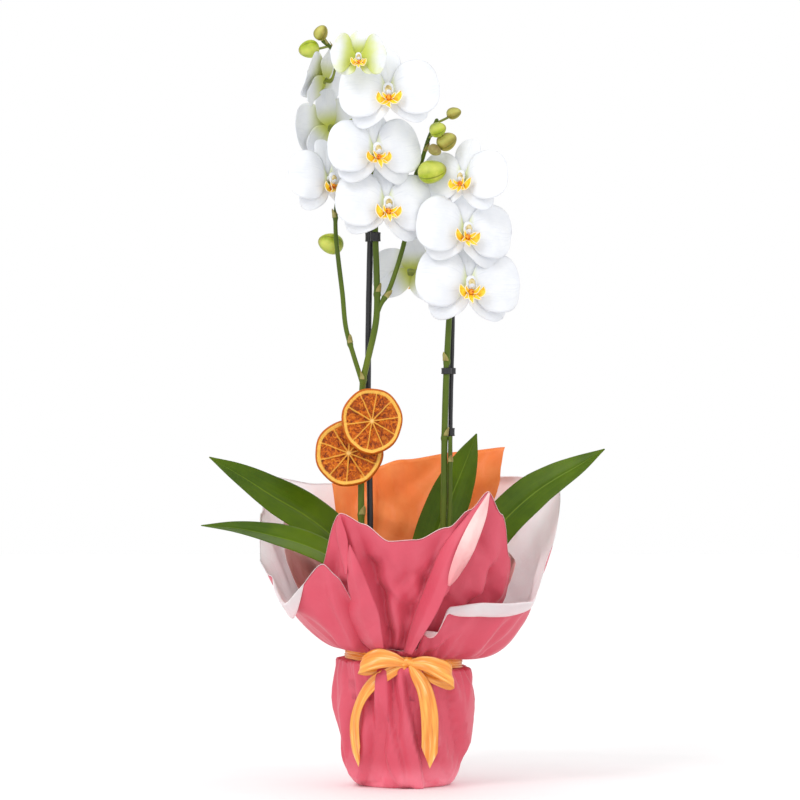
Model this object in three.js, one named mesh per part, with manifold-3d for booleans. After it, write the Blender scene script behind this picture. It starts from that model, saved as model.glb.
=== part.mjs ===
// Potted moth orchid with two flower spikes, gift-wrapped in paper with a ribbon bow.
// Millimetres, +Z up. The origin is the centre of the flat underside of the wrap,
// -Y is the front of the wrapped pot and +X is its right-hand side.
import * as THREE from "three";
import { mergeVertices } from "three/addons/utils/BufferGeometryUtils.js";
import Module from "manifold-3d";

const wasm = await Module();
wasm.setup();

// ---------- driving dimensions ----------
const SEAT_GAP = 0.3; // clearance between two pieces that touch

const PAPER_THICKNESS = 1.2;
const PAPER_GAP = 0.8; // air between two nested sheets
const FLARE_STAGGER = 3; // each inner sheet leaves the neck this much higher
const BASE_CLEARANCE = 1; // paper outside the pot's foot
const BODY_CLEARANCE = 6.5; // paper outside the pot's rim
const NECK_RADIUS = 55.8; // outside of the tied neck
const NECK_ABOVE_POT = 17; // from the pot's rim up to the middle of the ribbon on the front
const NECK_TILT = 5; // the ribbon sits this much higher at the left
const NECK_HALF_BAND = 4.5;
const PLEATS = 9;
const PLEAT_COLUMNS = 4; // mesh columns for each pleat
const BODY_PLEAT_DEPTH = 1;
const FLARE_PLEAT_DEPTH = 4;
const FLARE_RINGS = 4;

const POT_TOP_RADIUS = 60;
const POT_BASE_RADIUS = 43;
const POT_HEIGHT = 106;
const POT_WALL = 1.2;
const POT_RIM_WIDTH = 3;
const POT_RIM_HEIGHT = 6;
const DRAIN_RADIUS = 8;
const BARK_BELOW_RIM = 8;
const POT_SIDES = 20;
const POT_FLOOR = 2 * PAPER_THICKNESS + PAPER_GAP + SEAT_GAP;
const POT_TOP = POT_FLOOR + POT_HEIGHT;
const BARK_TOP = POT_TOP - BARK_BELOW_RIM;
const BASE_RADIUS = POT_BASE_RADIUS + BASE_CLEARANCE; // flat underside of the wrap
const BODY_RADIUS = POT_TOP_RADIUS + BODY_CLEARANCE; // widest ring of the wrapped pot
const NECK_HEIGHT = POT_TOP + NECK_ABOVE_POT;

const CROWN_RADIUS = 13;
const CROWN_HEIGHT = 34;
const CROWN_SEAT_RADIUS = CROWN_RADIUS * 0.93; // where the leaves and spikes leave it
const ROOT_RADIUS = 2.6;

const LEAF_THICKNESS = 2;
const LEAF_STATIONS = 11;

const SPIKE_RADIUS = 3.2;
const SPIKE_TIP_RADIUS = 2;
const BRANCH_RADIUS = 2.4;
const STUB_RADIUS = 2.1;
const PEDICEL_RADIUS = 1.4;
const LEFT_STAKE_RADIUS = 3.1;
const RIGHT_STAKE_RADIUS = 2.3;
const STEM_SIDES = 6;

const PETAL_LENGTH = 50;
const PETAL_HALF_WIDTH = 27;
const SEPAL_LENGTH = 46;
const SEPAL_HALF_WIDTH = 15;
const TEPAL_THICKNESS = 1.4;

const SLICE_RADIUS = 33;
const SLICE_THICKNESS = 5;
const WIRE_RADIUS = 0.6;

const RIBBON_WIDTH = 17;
const RIBBON_THICKNESS = 1;
const CLIP_WALL = 1.5;
const CLIP_CLEARANCE = 0.45;

// ---------- colours ----------
const paint = (color, roughness) => () => new THREE.MeshStandardMaterial({ color, roughness, metalness: 0 });
const rosePaper = paint(0xd6606e, 0.7);
const orangePaper = paint(0xee8740, 0.7);
const satin = paint(0xfaa532, 0.35);
const blackPlastic = paint(0x1e1e23, 0.4);
const bark = paint(0x5a3c26, 0.9);
const root = paint(0x9aa383, 0.7);
const leafGreen = paint(0x3f6a10, 0.35);
const stemGreen = paint(0x4b6414, 0.45);
const petalWhite = paint(0xf6f7f6, 0.55);
const budGreen = paint(0xa5b23c, 0.5);
const driedOrange = paint(0xc86e1e, 0.6);
const wireBrown = paint(0x5c4630, 0.5);

// ---------- solids ----------
const point = (x, y, z) => new THREE.Vector3(x, y, z);
const smoothPath = (points) => new THREE.CatmullRomCurve3(points.map((p) => point(...p)), false, "centripetal");
const radians = THREE.MathUtils.degToRad;

function signedVolume(vertices, triangles) {
  let volume = 0;
  const [a, b, c] = [point(0, 0, 0), point(0, 0, 0), point(0, 0, 0)];
  for (let i = 0; i < triangles.length; i += 3) {
    a.fromArray(vertices, 3 * triangles[i]);
    b.fromArray(vertices, 3 * triangles[i + 1]);
    c.fromArray(vertices, 3 * triangles[i + 2]);
    volume += a.dot(b.cross(c)) / 6;
  }
  return volume;
}

function closedSolid(geometry) {
  const bare = geometry.clone();
  bare.deleteAttribute("normal");
  bare.deleteAttribute("uv");
  const merged = mergeVertices(bare, 1e-4);
  const vertProperties = new Float32Array(merged.attributes.position.array);
  const triVerts = [];
  const index = merged.index.array;
  for (let i = 0; i < index.length; i += 3) {
    const [a, b, c] = [index[i], index[i + 1], index[i + 2]];
    if (a !== b && b !== c && c !== a) triVerts.push(a, b, c);
  }
  if (signedVolume(vertProperties, triVerts) < 0) triVerts.reverse();
  return new wasm.Manifold(new wasm.Mesh({ numProp: 3, vertProperties, triVerts: new Uint32Array(triVerts) }));
}

function geometryOf(solid) {
  const { vertProperties, triVerts } = solid.getMesh();
  const geometry = new THREE.BufferGeometry();
  geometry.setAttribute("position", new THREE.BufferAttribute(vertProperties, 3));
  geometry.setIndex(new THREE.BufferAttribute(triVerts, 1));
  geometry.computeVertexNormals();
  return geometry;
}

const joined = (...geometries) => geometryOf(
  geometries.map(closedSolid).reduce((all, next) => all.add(next)),
);

// A skin over a row of rings with equal point counts. Each end is closed by zipping its two halves.
function loft(rings) {
  const size = rings[0].length;
  const triangles = [];
  const quad = (a, b, c, d) => triangles.push(a, b, c, a, c, d);
  for (let i = 0; i + 1 < rings.length; i += 1) {
    for (let j = 0; j < size; j += 1) {
      const next = (j + 1) % size;
      quad(i * size + j, i * size + next, (i + 1) * size + next, (i + 1) * size + j);
    }
  }
  const last = (rings.length - 1) * size;
  for (let j = 0; j + 1 < size / 2; j += 1) {
    quad(j, size - 1 - j, size - 2 - j, j + 1);
    quad(last + j, last + j + 1, last + size - 2 - j, last + size - 1 - j);
  }
  const geometry = new THREE.BufferGeometry();
  const places = rings.flat().flatMap((p) => [p.x, p.y, p.z]);
  geometry.setAttribute("position", new THREE.Float32BufferAttribute(places, 3));
  geometry.setIndex(triangles);
  return geometry;
}

// A round stem along a path, whose radius follows radiusAt(0..1).
function taperedTube(path, radiusAt, steps, sides = STEM_SIDES) {
  const frames = path.computeFrenetFrames(steps, false);
  const rings = [];
  for (let i = 0; i <= steps; i += 1) {
    const centre = path.getPointAt(i / steps);
    const radius = radiusAt(i / steps);
    const ring = [];
    for (let j = 0; j < sides; j += 1) {
      const angle = (2 * Math.PI * j) / sides;
      ring.push(centre.clone()
        .addScaledVector(frames.normals[i], radius * Math.cos(angle))
        .addScaledVector(frames.binormals[i], radius * Math.sin(angle)));
    }
    rings.push(ring);
  }
  return loft(rings);
}

// A tube of constant radius.
function evenTube(path, radius, steps, sides = STEM_SIDES) {
  const outline = [];
  for (let j = 0; j < sides; j += 1) {
    const angle = (2 * Math.PI * j) / sides;
    outline.push(new THREE.Vector2(radius * Math.cos(angle), radius * Math.sin(angle)));
  }
  return new THREE.ExtrudeGeometry(new THREE.Shape(outline), { steps, extrudePath: path, bevelEnabled: false });
}

// A leaf or tepal: a thin blade along a spine, facing faceNormal, folded up towards its edges.
function blade({ spine, faceNormal, halfWidth, fold, thickness, stations, across }) {
  const rings = [];
  for (let i = 0; i < stations; i += 1) {
    const u = i / (stations - 1);
    const tangent = spine.getTangentAt(u);
    const side = faceNormal.clone().cross(tangent).normalize();
    const normal = tangent.clone().cross(side).normalize();
    const width = halfWidth(u);
    const place = (v, face) => spine.getPointAt(u)
      .addScaledVector(side, v * width)
      .addScaledVector(normal, fold * u * width * Math.abs(v) ** 1.5 + (face * thickness * (1 - v * v)) / 2);
    const ring = [];
    for (let j = 0; j < across; j += 1) ring.push(place((2 * j) / (across - 1) - 1, 1));
    for (let j = across - 2; j > 0; j -= 1) ring.push(place((2 * j) / (across - 1) - 1, -1));
    rings.push(ring);
  }
  return loft(rings);
}

// Smooth value between evenly spaced samples, for blade widths.
function profile(samples) {
  const curve = new THREE.SplineCurve(samples.map((value, i) => new THREE.Vector2(i, value)));
  return (u) => curve.getPoint(u).y;
}

// How far along a rising path it reaches a height, from 0 to 1.
function shareAtHeight(path, height) {
  let [low, high] = [0, 1];
  for (let i = 0; i < 40; i += 1) {
    const middle = (low + high) / 2;
    if (path.getPointAt(middle).z < height) low = middle;
    else high = middle;
  }
  return low;
}

// ---------- places ----------
const PLANT_DATUM = 101.5; // the bark's height that the plant's and the canes' points are given for
const NECK_DATUM = 126.5; // the ribbon's height that the collar's and the bow's points are given for
const raised = ([x, y, z]) => [x, y, z + BARK_TOP - PLANT_DATUM];
const plantHeight = (height) => height + BARK_TOP - PLANT_DATUM;
const tiedHeight = (height) => height + NECK_HEIGHT - NECK_DATUM;

// A point just outside the crown's tapered side, by direction, distance out and height.
function crownSeat(degrees, out, height) {
  const [radius, angle] = [CROWN_SEAT_RADIUS + out, radians(degrees)];
  return [radius * Math.cos(angle), radius * Math.sin(angle), height];
}

// ---------- assembly ----------
const model = new THREE.Group();

function addPiece(name, geometry, material) {
  const solid = geometryOf(closedSolid(geometry));
  const mesh = new THREE.Mesh(solid, material());
  mesh.name = name;
  model.add(mesh);
}

// ---------- paper wrap ----------
const neckHeight = (angle) => NECK_HEIGHT - NECK_TILT * Math.cos(angle);

// Rims: [angle in degrees, radius, height, bowl]; bowl above 1 sends the paper outwards first.
const OUTER_RIM = [
  [12, 160, 294, 2.6], [40, 152, 305, 1.8], [90, 138, 298, 1.5], [130, 140, 298, 1.5],
  [150, 157, 306, 1.6], [168, 146, 270, 1.7], [182, 143, 225, 1.7], [200, 140, 211, 1.6],
  [213, 138, 180, 1.5], [232, 126, 225, 1.3], [244, 104, 196, 1.2], [270, 90, 168, 1.2],
  [290, 95, 162, 1.3], [312, 112, 170, 1.6], [336, 141, 171, 2], [350, 150, 240, 2.6],
];
const INNER_RIM = [
  [0, 112, 222, 1.3], [45, 120, 236, 1.25], [90, 116, 246, 1.25], [135, 122, 246, 1.25],
  [180, 108, 206, 1.2], [205, 104, 190, 1.2], [222, 112, 216, 1.2], [240, 121, 274, 1.2],
  [250, 116, 263, 1.2], [263, 112, 249, 1.2], [276, 112, 250, 1.2], [292, 114, 260, 1.2],
  [304, 115, 277, 1.2], [313, 120, 295, 1.2], [322, 122, 272, 1.2], [332, 118, 230, 1.2],
  [342, 108, 202, 1.2],
];
const ORANGE_RIM = [
  [38, 133, 336, 1.25], [60, 118, 331, 1.25], [90, 108, 323, 1.25], [112, 106, 313, 1.25],
  [131, 112, 299, 1.25],
];

function rimAt(rim, degrees) {
  const turned = (degrees + 360) % 360;
  const after = rim.findIndex((entry) => entry[0] > turned);
  const right = rim[after < 0 ? 0 : after];
  const left = rim[after <= 0 ? rim.length - 1 : after - 1];
  const span = (right[0] - left[0] + 360) % 360;
  const share = ((turned - left[0] + 360) % 360) / span;
  const smooth = share * share * (3 - 2 * share);
  const [radius, height, bowl] = [1, 2, 3].map((k) => THREE.MathUtils.lerp(left[k], right[k], smooth));
  return { radius, height: tiedHeight(height), bowl };
}

// The wrapped pot's outline from the axis to the top of the neck.
function bodyOutline(angle, layer) {
  const neck = neckHeight(angle);
  return [
    [0, 0], [BASE_RADIUS, 0], [BASE_RADIUS + 6.5, 5], [BASE_RADIUS + 11.5, 16],
    [BODY_RADIUS - 5.5, 40], [BODY_RADIUS, 85], [BODY_RADIUS - 0.5, neck - 12],
    [NECK_RADIUS + 7, neck - 7], [NECK_RADIUS + 0.2, neck - NECK_HALF_BAND],
    [NECK_RADIUS, neck + NECK_HALF_BAND + layer * FLARE_STAGGER],
  ];
}

function flareOutline(from, rim) {
  const points = [];
  for (let i = 1; i <= FLARE_RINGS; i += 1) {
    const share = i / FLARE_RINGS;
    points.push([
      THREE.MathUtils.lerp(from[0], rim.radius, share ** 0.85),
      THREE.MathUtils.lerp(from[1], rim.height, share ** rim.bowl),
    ]);
  }
  return points;
}

// Moves an outline towards its inner side by a distance, square to it.
function insideOf(outline, distance) {
  return outline.map(([radius, height], i) => {
    const before = outline[Math.max(i - 1, 0)];
    const after = outline[Math.min(i + 1, outline.length - 1)];
    const run = [after[0] - before[0], after[1] - before[1]];
    const length = Math.hypot(...run);
    const moved = radius - (distance * run[1]) / length;
    return [radius === 0 ? 0 : moved, height + (distance * run[0]) / length];
  });
}

function pleated([radius, height], angle, neck) {
  if (radius <= BASE_RADIUS || height < 1) return radius;
  const overNeck = THREE.MathUtils.clamp((height - neck - NECK_HALF_BAND - 2 * FLARE_STAGGER) / 80, 0, 1);
  const slack = THREE.MathUtils.clamp((neck - 12 - height) / 25, 0.3, 1) * BODY_PLEAT_DEPTH;
  return radius + Math.cos(PLEATS * angle) * (slack + overNeck * FLARE_PLEAT_DEPTH);
}

const onAxis = ([radius, height], angle) => {
  const pleatedRadius = pleated([radius, height], angle, neckHeight(angle));
  return point(pleatedRadius * Math.cos(angle), pleatedRadius * Math.sin(angle), height);
};

// A sheet that goes under the pot, up its sides, through the neck and out into the flare.
function wrappedSheet(rim, layer) {
  const columns = PLEATS * PLEAT_COLUMNS;
  const vertices = [];
  const triangles = [];
  let size = 0;
  for (let i = 0; i < columns; i += 1) {
    const angle = (2 * Math.PI * i) / columns;
    const body = insideOf(bodyOutline(angle, layer), layer * (PAPER_THICKNESS + PAPER_GAP));
    const flare = flareOutline(body[body.length - 1], rimAt(rim, (i * 360) / columns));
    const outside = [...body, ...flare];
    const section = [...outside, ...insideOf(outside, PAPER_THICKNESS).reverse()];
    size = section.length;
    section.forEach((place) => vertices.push(...onAxis(place, angle).toArray()));
  }
  for (let i = 0; i < columns; i += 1) {
    const next = (i + 1) % columns;
    for (let j = 0; j + 1 < size; j += 1) {
      const [a, b] = [i * size + j, next * size + j];
      triangles.push(a, b, b + 1, a, b + 1, a + 1);
    }
  }
  const geometry = new THREE.BufferGeometry();
  geometry.setAttribute("position", new THREE.Float32BufferAttribute(vertices, 3));
  geometry.setIndex(triangles);
  return geometry;
}

// The orange sheet only lines the back, and its foot is held in the neck.
function backSheet(rim, layer) {
  const rings = [];
  const [first, last] = [rim[0][0], rim[rim.length - 1][0]];
  const columns = 12;
  for (let i = 0; i <= columns; i += 1) {
    const degrees = THREE.MathUtils.lerp(first, last - 0.01, i / columns);
    const angle = radians(degrees);
    const neck = neckHeight(angle);
    const radius = NECK_RADIUS - layer * (PAPER_THICKNESS + PAPER_GAP);
    const foot = [radius, neck + NECK_HALF_BAND + layer * FLARE_STAGGER];
    const outside = [[radius, neck - NECK_HALF_BAND / 2], foot, ...flareOutline(foot, rimAt(rim, degrees))];
    const section = [...outside, ...insideOf(outside, PAPER_THICKNESS).reverse()];
    rings.push(section.map((place) => onAxis(place, angle)));
  }
  return loft(rings);
}

function addPaper() {
  addPiece("paper_outer", wrappedSheet(OUTER_RIM, 0), rosePaper);
  addPiece("paper_inner", wrappedSheet(INNER_RIM, 1), rosePaper);
  addPiece("paper_orange", backSheet(ORANGE_RIM, 2), orangePaper);
}

// ---------- pot and bark ----------
const potRadius = (height) => THREE.MathUtils.mapLinear(
  height, POT_FLOOR, POT_TOP, POT_BASE_RADIUS, POT_TOP_RADIUS - POT_RIM_WIDTH,
);

function turned(profilePoints, segments) {
  return new THREE.LatheGeometry(profilePoints.map((p) => new THREE.Vector2(...p)), segments).rotateX(Math.PI / 2);
}

function potShell() {
  const rimBottom = POT_TOP - POT_RIM_HEIGHT;
  return turned([
    [DRAIN_RADIUS, POT_FLOOR], [POT_BASE_RADIUS, POT_FLOOR], [potRadius(rimBottom), rimBottom],
    [POT_TOP_RADIUS, rimBottom], [POT_TOP_RADIUS, POT_TOP], [potRadius(POT_TOP) - POT_WALL, POT_TOP],
    [POT_BASE_RADIUS - POT_WALL, POT_FLOOR + POT_WALL], [DRAIN_RADIUS, POT_FLOOR + POT_WALL],
    [DRAIN_RADIUS, POT_FLOOR],
  ], POT_SIDES);
}

function barkFill() {
  const foot = POT_FLOOR + POT_WALL + SEAT_GAP;
  const inset = POT_WALL + SEAT_GAP + 0.2;
  return turned([
    [0, foot], [potRadius(foot) - inset, foot], [potRadius(BARK_TOP) - inset, BARK_TOP - 3],
    [potRadius(BARK_TOP) - inset - 4, BARK_TOP], [0, BARK_TOP],
  ], POT_SIDES);
}

// ---------- canes and spikes ----------
const CANE_FOOT = POT_FLOOR + 9;
const LEFT_STAKE = smoothPath([
  [-31, 5, CANE_FOOT], ...[
    [-33, 5, 150], [-33.5, 5, 278], [-35.5, 5, 380], [-35, 5, 460], [-33, 4, 560], [-31, 1, 668],
  ].map(raised),
]);
const RIGHT_STAKE = smoothPath([
  [36, 5, CANE_FOOT], ...[
    [41, 5, 110], [45.5, 4.5, 200], [46.5, 4.5, 300], [47.3, 4.5, 380], [49, 4.5, 450], [49.5, 4.5, 488],
  ].map(raised),
]);
const LEFT_SPIKE_PATH = smoothPath([
  crownSeat(180, 2.51, 121), [-27, -3, 142], [-38, -3, 185], [-42, -3, 256], [-42, -3, 330], [-40.5, -3.5, 402],
  [-36.5, -4, 421], [-28.5, -4, 456], [-26.5, -4, 474], [-28, -4, 546], [-30, -7, 610], [-32, -12, 660],
  [-44, -18, 705], [-66, -21, 729], [-80, -23, 741],
].map(raised));
const LEFT_BRANCH_PATH = smoothPath([
  [-41, -3.5, 400], [-44, -4, 410], [-50, -4, 429], [-57.5, -4, 456], [-61, -4, 490], [-65, -4, 523],
  [-67.7, -3, 550], [-67.5, -2, 575], [-64, -1, 592],
].map(raised));
const RIGHT_BRANCH_PATH = smoothPath([
  [-26.5, -4, 470], [-23, -4, 479], [-15.5, -3, 492], [-8, -1, 512], [1.3, 1, 544], [7, 2, 575],
  [11.5, -3, 606], [18, -12, 622], [25, -20, 644], [33, -24, 662],
].map(raised));
const RIGHT_SPIKE_PATH = smoothPath([
  crownSeat(0, 2.51, 121), [27, -3, 142], [36, -3, 185], [40, -3, 266], [41, -3, 349], [42.5, -3, 402],
  [45, -3, 456], [47, -2, 485], [51, 1, 520], [55, 5, 560], [57, 9, 600], [59, 10, 628],
].map(raised));
const CUT_STUB = smoothPath([
  crownSeat(-28.74, 2.05, 120), [30, -11, 145], [42, -9, 190], [46.2, -5, 262], [46.6, -4, 346],
].map(raised));

const spikeTaper = (u) => THREE.MathUtils.lerp(SPIKE_RADIUS, SPIKE_TIP_RADIUS, THREE.MathUtils.smoothstep(u, 0.6, 1));
const branchTaper = (u) => THREE.MathUtils.lerp(BRANCH_RADIUS, SPIKE_TIP_RADIUS, u);
const LEFT_SPIKE = { path: LEFT_SPIKE_PATH, radiusAt: spikeTaper };
const RIGHT_SPIKE = { path: RIGHT_SPIKE_PATH, radiusAt: spikeTaper };
const LEFT_BRANCH = { path: LEFT_BRANCH_PATH, radiusAt: branchTaper };
const RIGHT_BRANCH = { path: RIGHT_BRANCH_PATH, radiusAt: branchTaper };
const stem = ({ path, radiusAt }, steps) => taperedTube(path, radiusAt, steps);

function addSupports() {
  const hole = (path, radius) => closedSolid(evenTube(path, radius + SEAT_GAP, 24));
  const fill = closedSolid(barkFill())
    .subtract(hole(LEFT_STAKE, LEFT_STAKE_RADIUS))
    .subtract(hole(RIGHT_STAKE, RIGHT_STAKE_RADIUS));
  addPiece("nursery_pot", potShell(), blackPlastic);
  addPiece("bark_substrate", geometryOf(fill), bark);
  addPiece("stake_left", evenTube(LEFT_STAKE, LEFT_STAKE_RADIUS, 24), blackPlastic);
  addPiece("stake_right", evenTube(RIGHT_STAKE, RIGHT_STAKE_RADIUS, 24), blackPlastic);
}

function addSpikes() {
  addPiece("flower_spike_left", joined(
    stem(LEFT_SPIKE, 32),
    stem(LEFT_BRANCH, 12),
    stem(RIGHT_BRANCH, 12),
  ), stemGreen);
  addPiece("flower_spike_right", stem(RIGHT_SPIKE, 22), stemGreen);
  addPiece("cut_spike_stub", evenTube(CUT_STUB, STUB_RADIUS, 12), stemGreen);
}

// A clip holds a stem and its cane side by side.
function clip(height, tall, holders) {
  const cylinder = (radius, place, length) => new THREE.CylinderGeometry(radius, radius, length, 12)
    .rotateX(Math.PI / 2).translate(place.x, place.y, height);
  const places = holders.map(({ path, radius }) => (
    { place: path.getPointAt(shareAtHeight(path, height)), radius }));
  let solid = null;
  places.forEach(({ place, radius }) => {
    const ring = closedSolid(cylinder(radius + CLIP_CLEARANCE + CLIP_WALL, place, tall));
    solid = solid ? solid.add(ring) : ring;
  });
  places.forEach(({ place, radius }) => {
    solid = solid.subtract(closedSolid(cylinder(radius + CLIP_CLEARANCE, place, 3 * tall)));
  });
  return geometryOf(solid);
}

function addClips() {
  const leftSpike = { path: LEFT_SPIKE_PATH, radius: SPIKE_RADIUS };
  const leftCane = { path: LEFT_STAKE, radius: LEFT_STAKE_RADIUS };
  const rightSpike = { path: RIGHT_SPIKE_PATH, radius: SPIKE_RADIUS };
  const rightCane = { path: RIGHT_STAKE, radius: RIGHT_STAKE_RADIUS };
  addPiece("clip_left", clip(plantHeight(547), 9, [leftSpike, leftCane]), blackPlastic);
  addPiece("clip_right", clip(plantHeight(413), 6, [rightSpike, rightCane]), blackPlastic);
  addPiece("clip_low", clip(plantHeight(352), 8, [rightCane]), blackPlastic);
}

// ---------- crown, roots and leaves ----------
const CROWN_FOOT = BARK_TOP + SEAT_GAP;

function addCrown() {
  const top = CROWN_FOOT + CROWN_HEIGHT;
  addPiece("orchid_crown", turned([
    [0, CROWN_FOOT], [CROWN_RADIUS * 0.8, CROWN_FOOT], [CROWN_RADIUS, CROWN_FOOT + 10],
    [CROWN_RADIUS * 0.9, top - 12], [CROWN_RADIUS * 0.5, top - 2], [0, top],
  ], 12), stemGreen);
  const rest = BARK_TOP + SEAT_GAP + ROOT_RADIUS;
  const start = CROWN_RADIUS + SEAT_GAP + 0.3;
  [75, 140, 250].forEach((degrees, i) => {
    const ray = (radius, turn, height) => {
      const angle = radians(degrees + turn);
      return [radius * Math.cos(angle), radius * Math.sin(angle), height];
    };
    const path = smoothPath([ray(start, 0, rest + 5), ray(24, 4, rest + 3), ray(34, 16, rest), ray(43, 34, rest)]);
    addPiece(`root_${i + 1}`, taperedTube(path, () => ROOT_RADIUS, 8, 7), root);
  });
}

const LEAVES = [
  {
    name: "leaf_left_upper",
    spine: [crownSeat(143.05, 1.55, 120), [-25, 20, 158], [-44, 27, 203], [-68, 22, 243], [-98, 14, 268],
      [-130, 6, 287], [-158, 0, 305], [-194, -6, 327]],
    faces: [0.35, -0.55, 0.8],
    widths: [4.5, 9, 14, 20, 23, 24, 23, 19, 12, 1],
  },
  {
    name: "leaf_left_lower",
    spine: [crownSeat(223.84, 1.91, 120), [-22, -24, 154], [-40, -33, 190], [-66, -40, 224], [-96, -46, 240],
      [-130, -50, 250], [-165, -51, 257], [-200, -50, 260]],
    faces: [0.2, -0.3, 0.95],
    widths: [4.5, 9, 13, 17, 19, 20, 19, 15, 9, 1],
  },
  {
    name: "leaf_back",
    spine: [crownSeat(80.68, 1.49, 120), [10, 27, 162], [22, 34, 205], [34, 37, 250], [50, 40, 290], [64, 43, 324],
      [74, 46, 350]],
    faces: [-0.2, -1, 0.25],
    widths: [4.5, 8, 12, 17, 21, 22.5, 22, 19, 12, 1],
  },
  {
    name: "leaf_right",
    spine: [crownSeat(31.11, 1.46, 120), [29, 17, 153], [52, 22, 192], [78, 17, 232], [102, 10, 264], [130, 4, 290], [152, 0, 305],
      [176, -2, 319], [201, -4, 335]],
    faces: [-0.35, -0.6, 0.8],
    widths: [4.5, 9, 13, 18, 21, 22, 21, 17, 11, 1],
  },
];

function addLeaves() {
  LEAVES.forEach(({ name, spine, faces, widths }) => addPiece(name, blade({
    spine: smoothPath(spine.map(raised)),
    faceNormal: point(...faces).normalize(),
    halfWidth: profile(widths),
    fold: 0.25,
    thickness: LEAF_THICKNESS,
    stations: LEAF_STATIONS,
    across: 5,
  }), leafGreen));
}

// ---------- flowers ----------
// The flower faces -Y in its own axes, with +Z up and its centre at the origin.
function tepal(degrees, length, halfWidths, { lift = 0, cup = 4 }) {
  const angle = radians(degrees);
  const along = (distance, forward) => [distance * Math.sin(angle), -forward, distance * Math.cos(angle)];
  return blade({
    spine: smoothPath([along(2, lift), along(length * 0.5, lift + cup), along(length, lift)]),
    faceNormal: point(0, -1, 0),
    halfWidth: profile(halfWidths),
    fold: -0.04,
    thickness: TEPAL_THICKNESS,
    stations: 5,
    across: 3,
  });
}

function flowerHead() {
  const petalWidths = [0.16, 0.8, 1, 0.85, 0.25].map((share) => share * PETAL_HALF_WIDTH);
  const sepalWidths = [0.3, 0.85, 1, 0.8, 0.2].map((share) => share * SEPAL_HALF_WIDTH);
  const receptacle = new THREE.SphereGeometry(1, 6, 4).scale(6, 4, 6);
  const column = new THREE.SphereGeometry(1, 6, 4).scale(4, 8, 4).translate(0, -6, 3);
  const lip = new THREE.SphereGeometry(1, 6, 4).scale(7, 8, 9).translate(0, -7, -7);
  return joined(
    receptacle,
    tepal(84, PETAL_LENGTH, petalWidths, { lift: 2.5 }),
    tepal(-84, PETAL_LENGTH, petalWidths, { lift: 2.5 }),
    tepal(0, SEPAL_LENGTH, sepalWidths, { lift: -2 }),
    tepal(142, SEPAL_LENGTH, sepalWidths, { lift: -2 }),
    tepal(-142, SEPAL_LENGTH, sepalWidths, { lift: -2 }),
    column,
    lip,
  );
}

// The pedicel leaves the back of the flower or bud and stops just short of its stem.
function pedicel(from, backwards, { path, radiusAt }, height, bow) {
  const share = shareAtHeight(path, height);
  const joint = path.getPointAt(share);
  const middle = from.clone().addScaledVector(backwards, bow).lerp(joint, 0.45);
  const inwards = joint.clone().sub(middle).normalize();
  const along = Math.abs(inwards.dot(path.getTangentAt(share)));
  const clear = (radiusAt(share) + SEAT_GAP + PEDICEL_RADIUS * along) / Math.sqrt(1 - along * along);
  const end = joint.clone().addScaledVector(inwards, -clear);
  const curve = new THREE.CatmullRomCurve3([from, middle, end.clone().lerp(middle, 0.25), end], false, "centripetal");
  return taperedTube(curve, () => PEDICEL_RADIUS, 4, 5);
}

// Each flower: centre, turn to the right, tilt up, roll, size, and where its pedicel joins the stem.
const FLOWERS = [
  { at: [-41, -68, 717], turn: 12, tilt: -4, roll: 0, size: 0.42, on: LEFT_SPIKE, joins: 721 },
  { at: [-15, -48, 689], turn: 0, tilt: 12, roll: -4, size: 1, on: LEFT_SPIKE, joins: 674 },
  { at: [-78, -6, 704], turn: -95, tilt: 30, roll: 0, size: 0.72, on: LEFT_SPIKE, joins: 732 },
  { at: [-72, 4, 657], turn: -135, tilt: 0, roll: 10, size: 0.84, on: LEFT_SPIKE, joins: 670 },
  { at: [-28, -38, 632], turn: 26, tilt: 12, roll: 0, size: 0.95, on: LEFT_SPIKE, joins: 618 },
  { at: [-75, -22, 604], turn: 42, tilt: 8, roll: 0, size: 0.86, on: LEFT_BRANCH, joins: 586 },
  { at: [-16, -29, 579], turn: 24, tilt: 12, roll: 4, size: 1, on: LEFT_SPIKE, joins: 566 },
  { at: [8, 26, 520], turn: 165, tilt: -10, roll: 0, size: 0.7, on: RIGHT_SPIKE, joins: 503 },
  { at: [62, -21, 606], turn: -26, tilt: 12, roll: 0, size: 0.86, on: RIGHT_SPIKE, joins: 596 },
  { at: [61.5, -19, 554], turn: 24, tilt: 12, roll: 8, size: 1, on: RIGHT_SPIKE, joins: 540 },
  { at: [65.5, -14, 500], turn: 26, tilt: 12, roll: 4, size: 1.06, on: RIGHT_SPIKE, joins: 476 },
];

function addFlowers() {
  FLOWERS.forEach(({ at, turn, tilt, roll, size, on: stalkOf, joins }, i) => {
    const pose = new THREE.Matrix4().makeRotationFromEuler(
      new THREE.Euler(radians(-tilt), radians(roll), radians(turn), "ZXY"),
    );
    const backwards = point(0, 1, 0).applyMatrix4(pose);
    const centre = point(...raised(at));
    pose.scale(point(size, size, size));
    pose.setPosition(centre);
    const head = flowerHead().applyMatrix4(pose);
    const stalk = pedicel(centre, backwards, stalkOf, plantHeight(joins), 14);
    addPiece(`flower_${i + 1}`, joined(head, stalk), petalWhite);
  });
}

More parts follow.
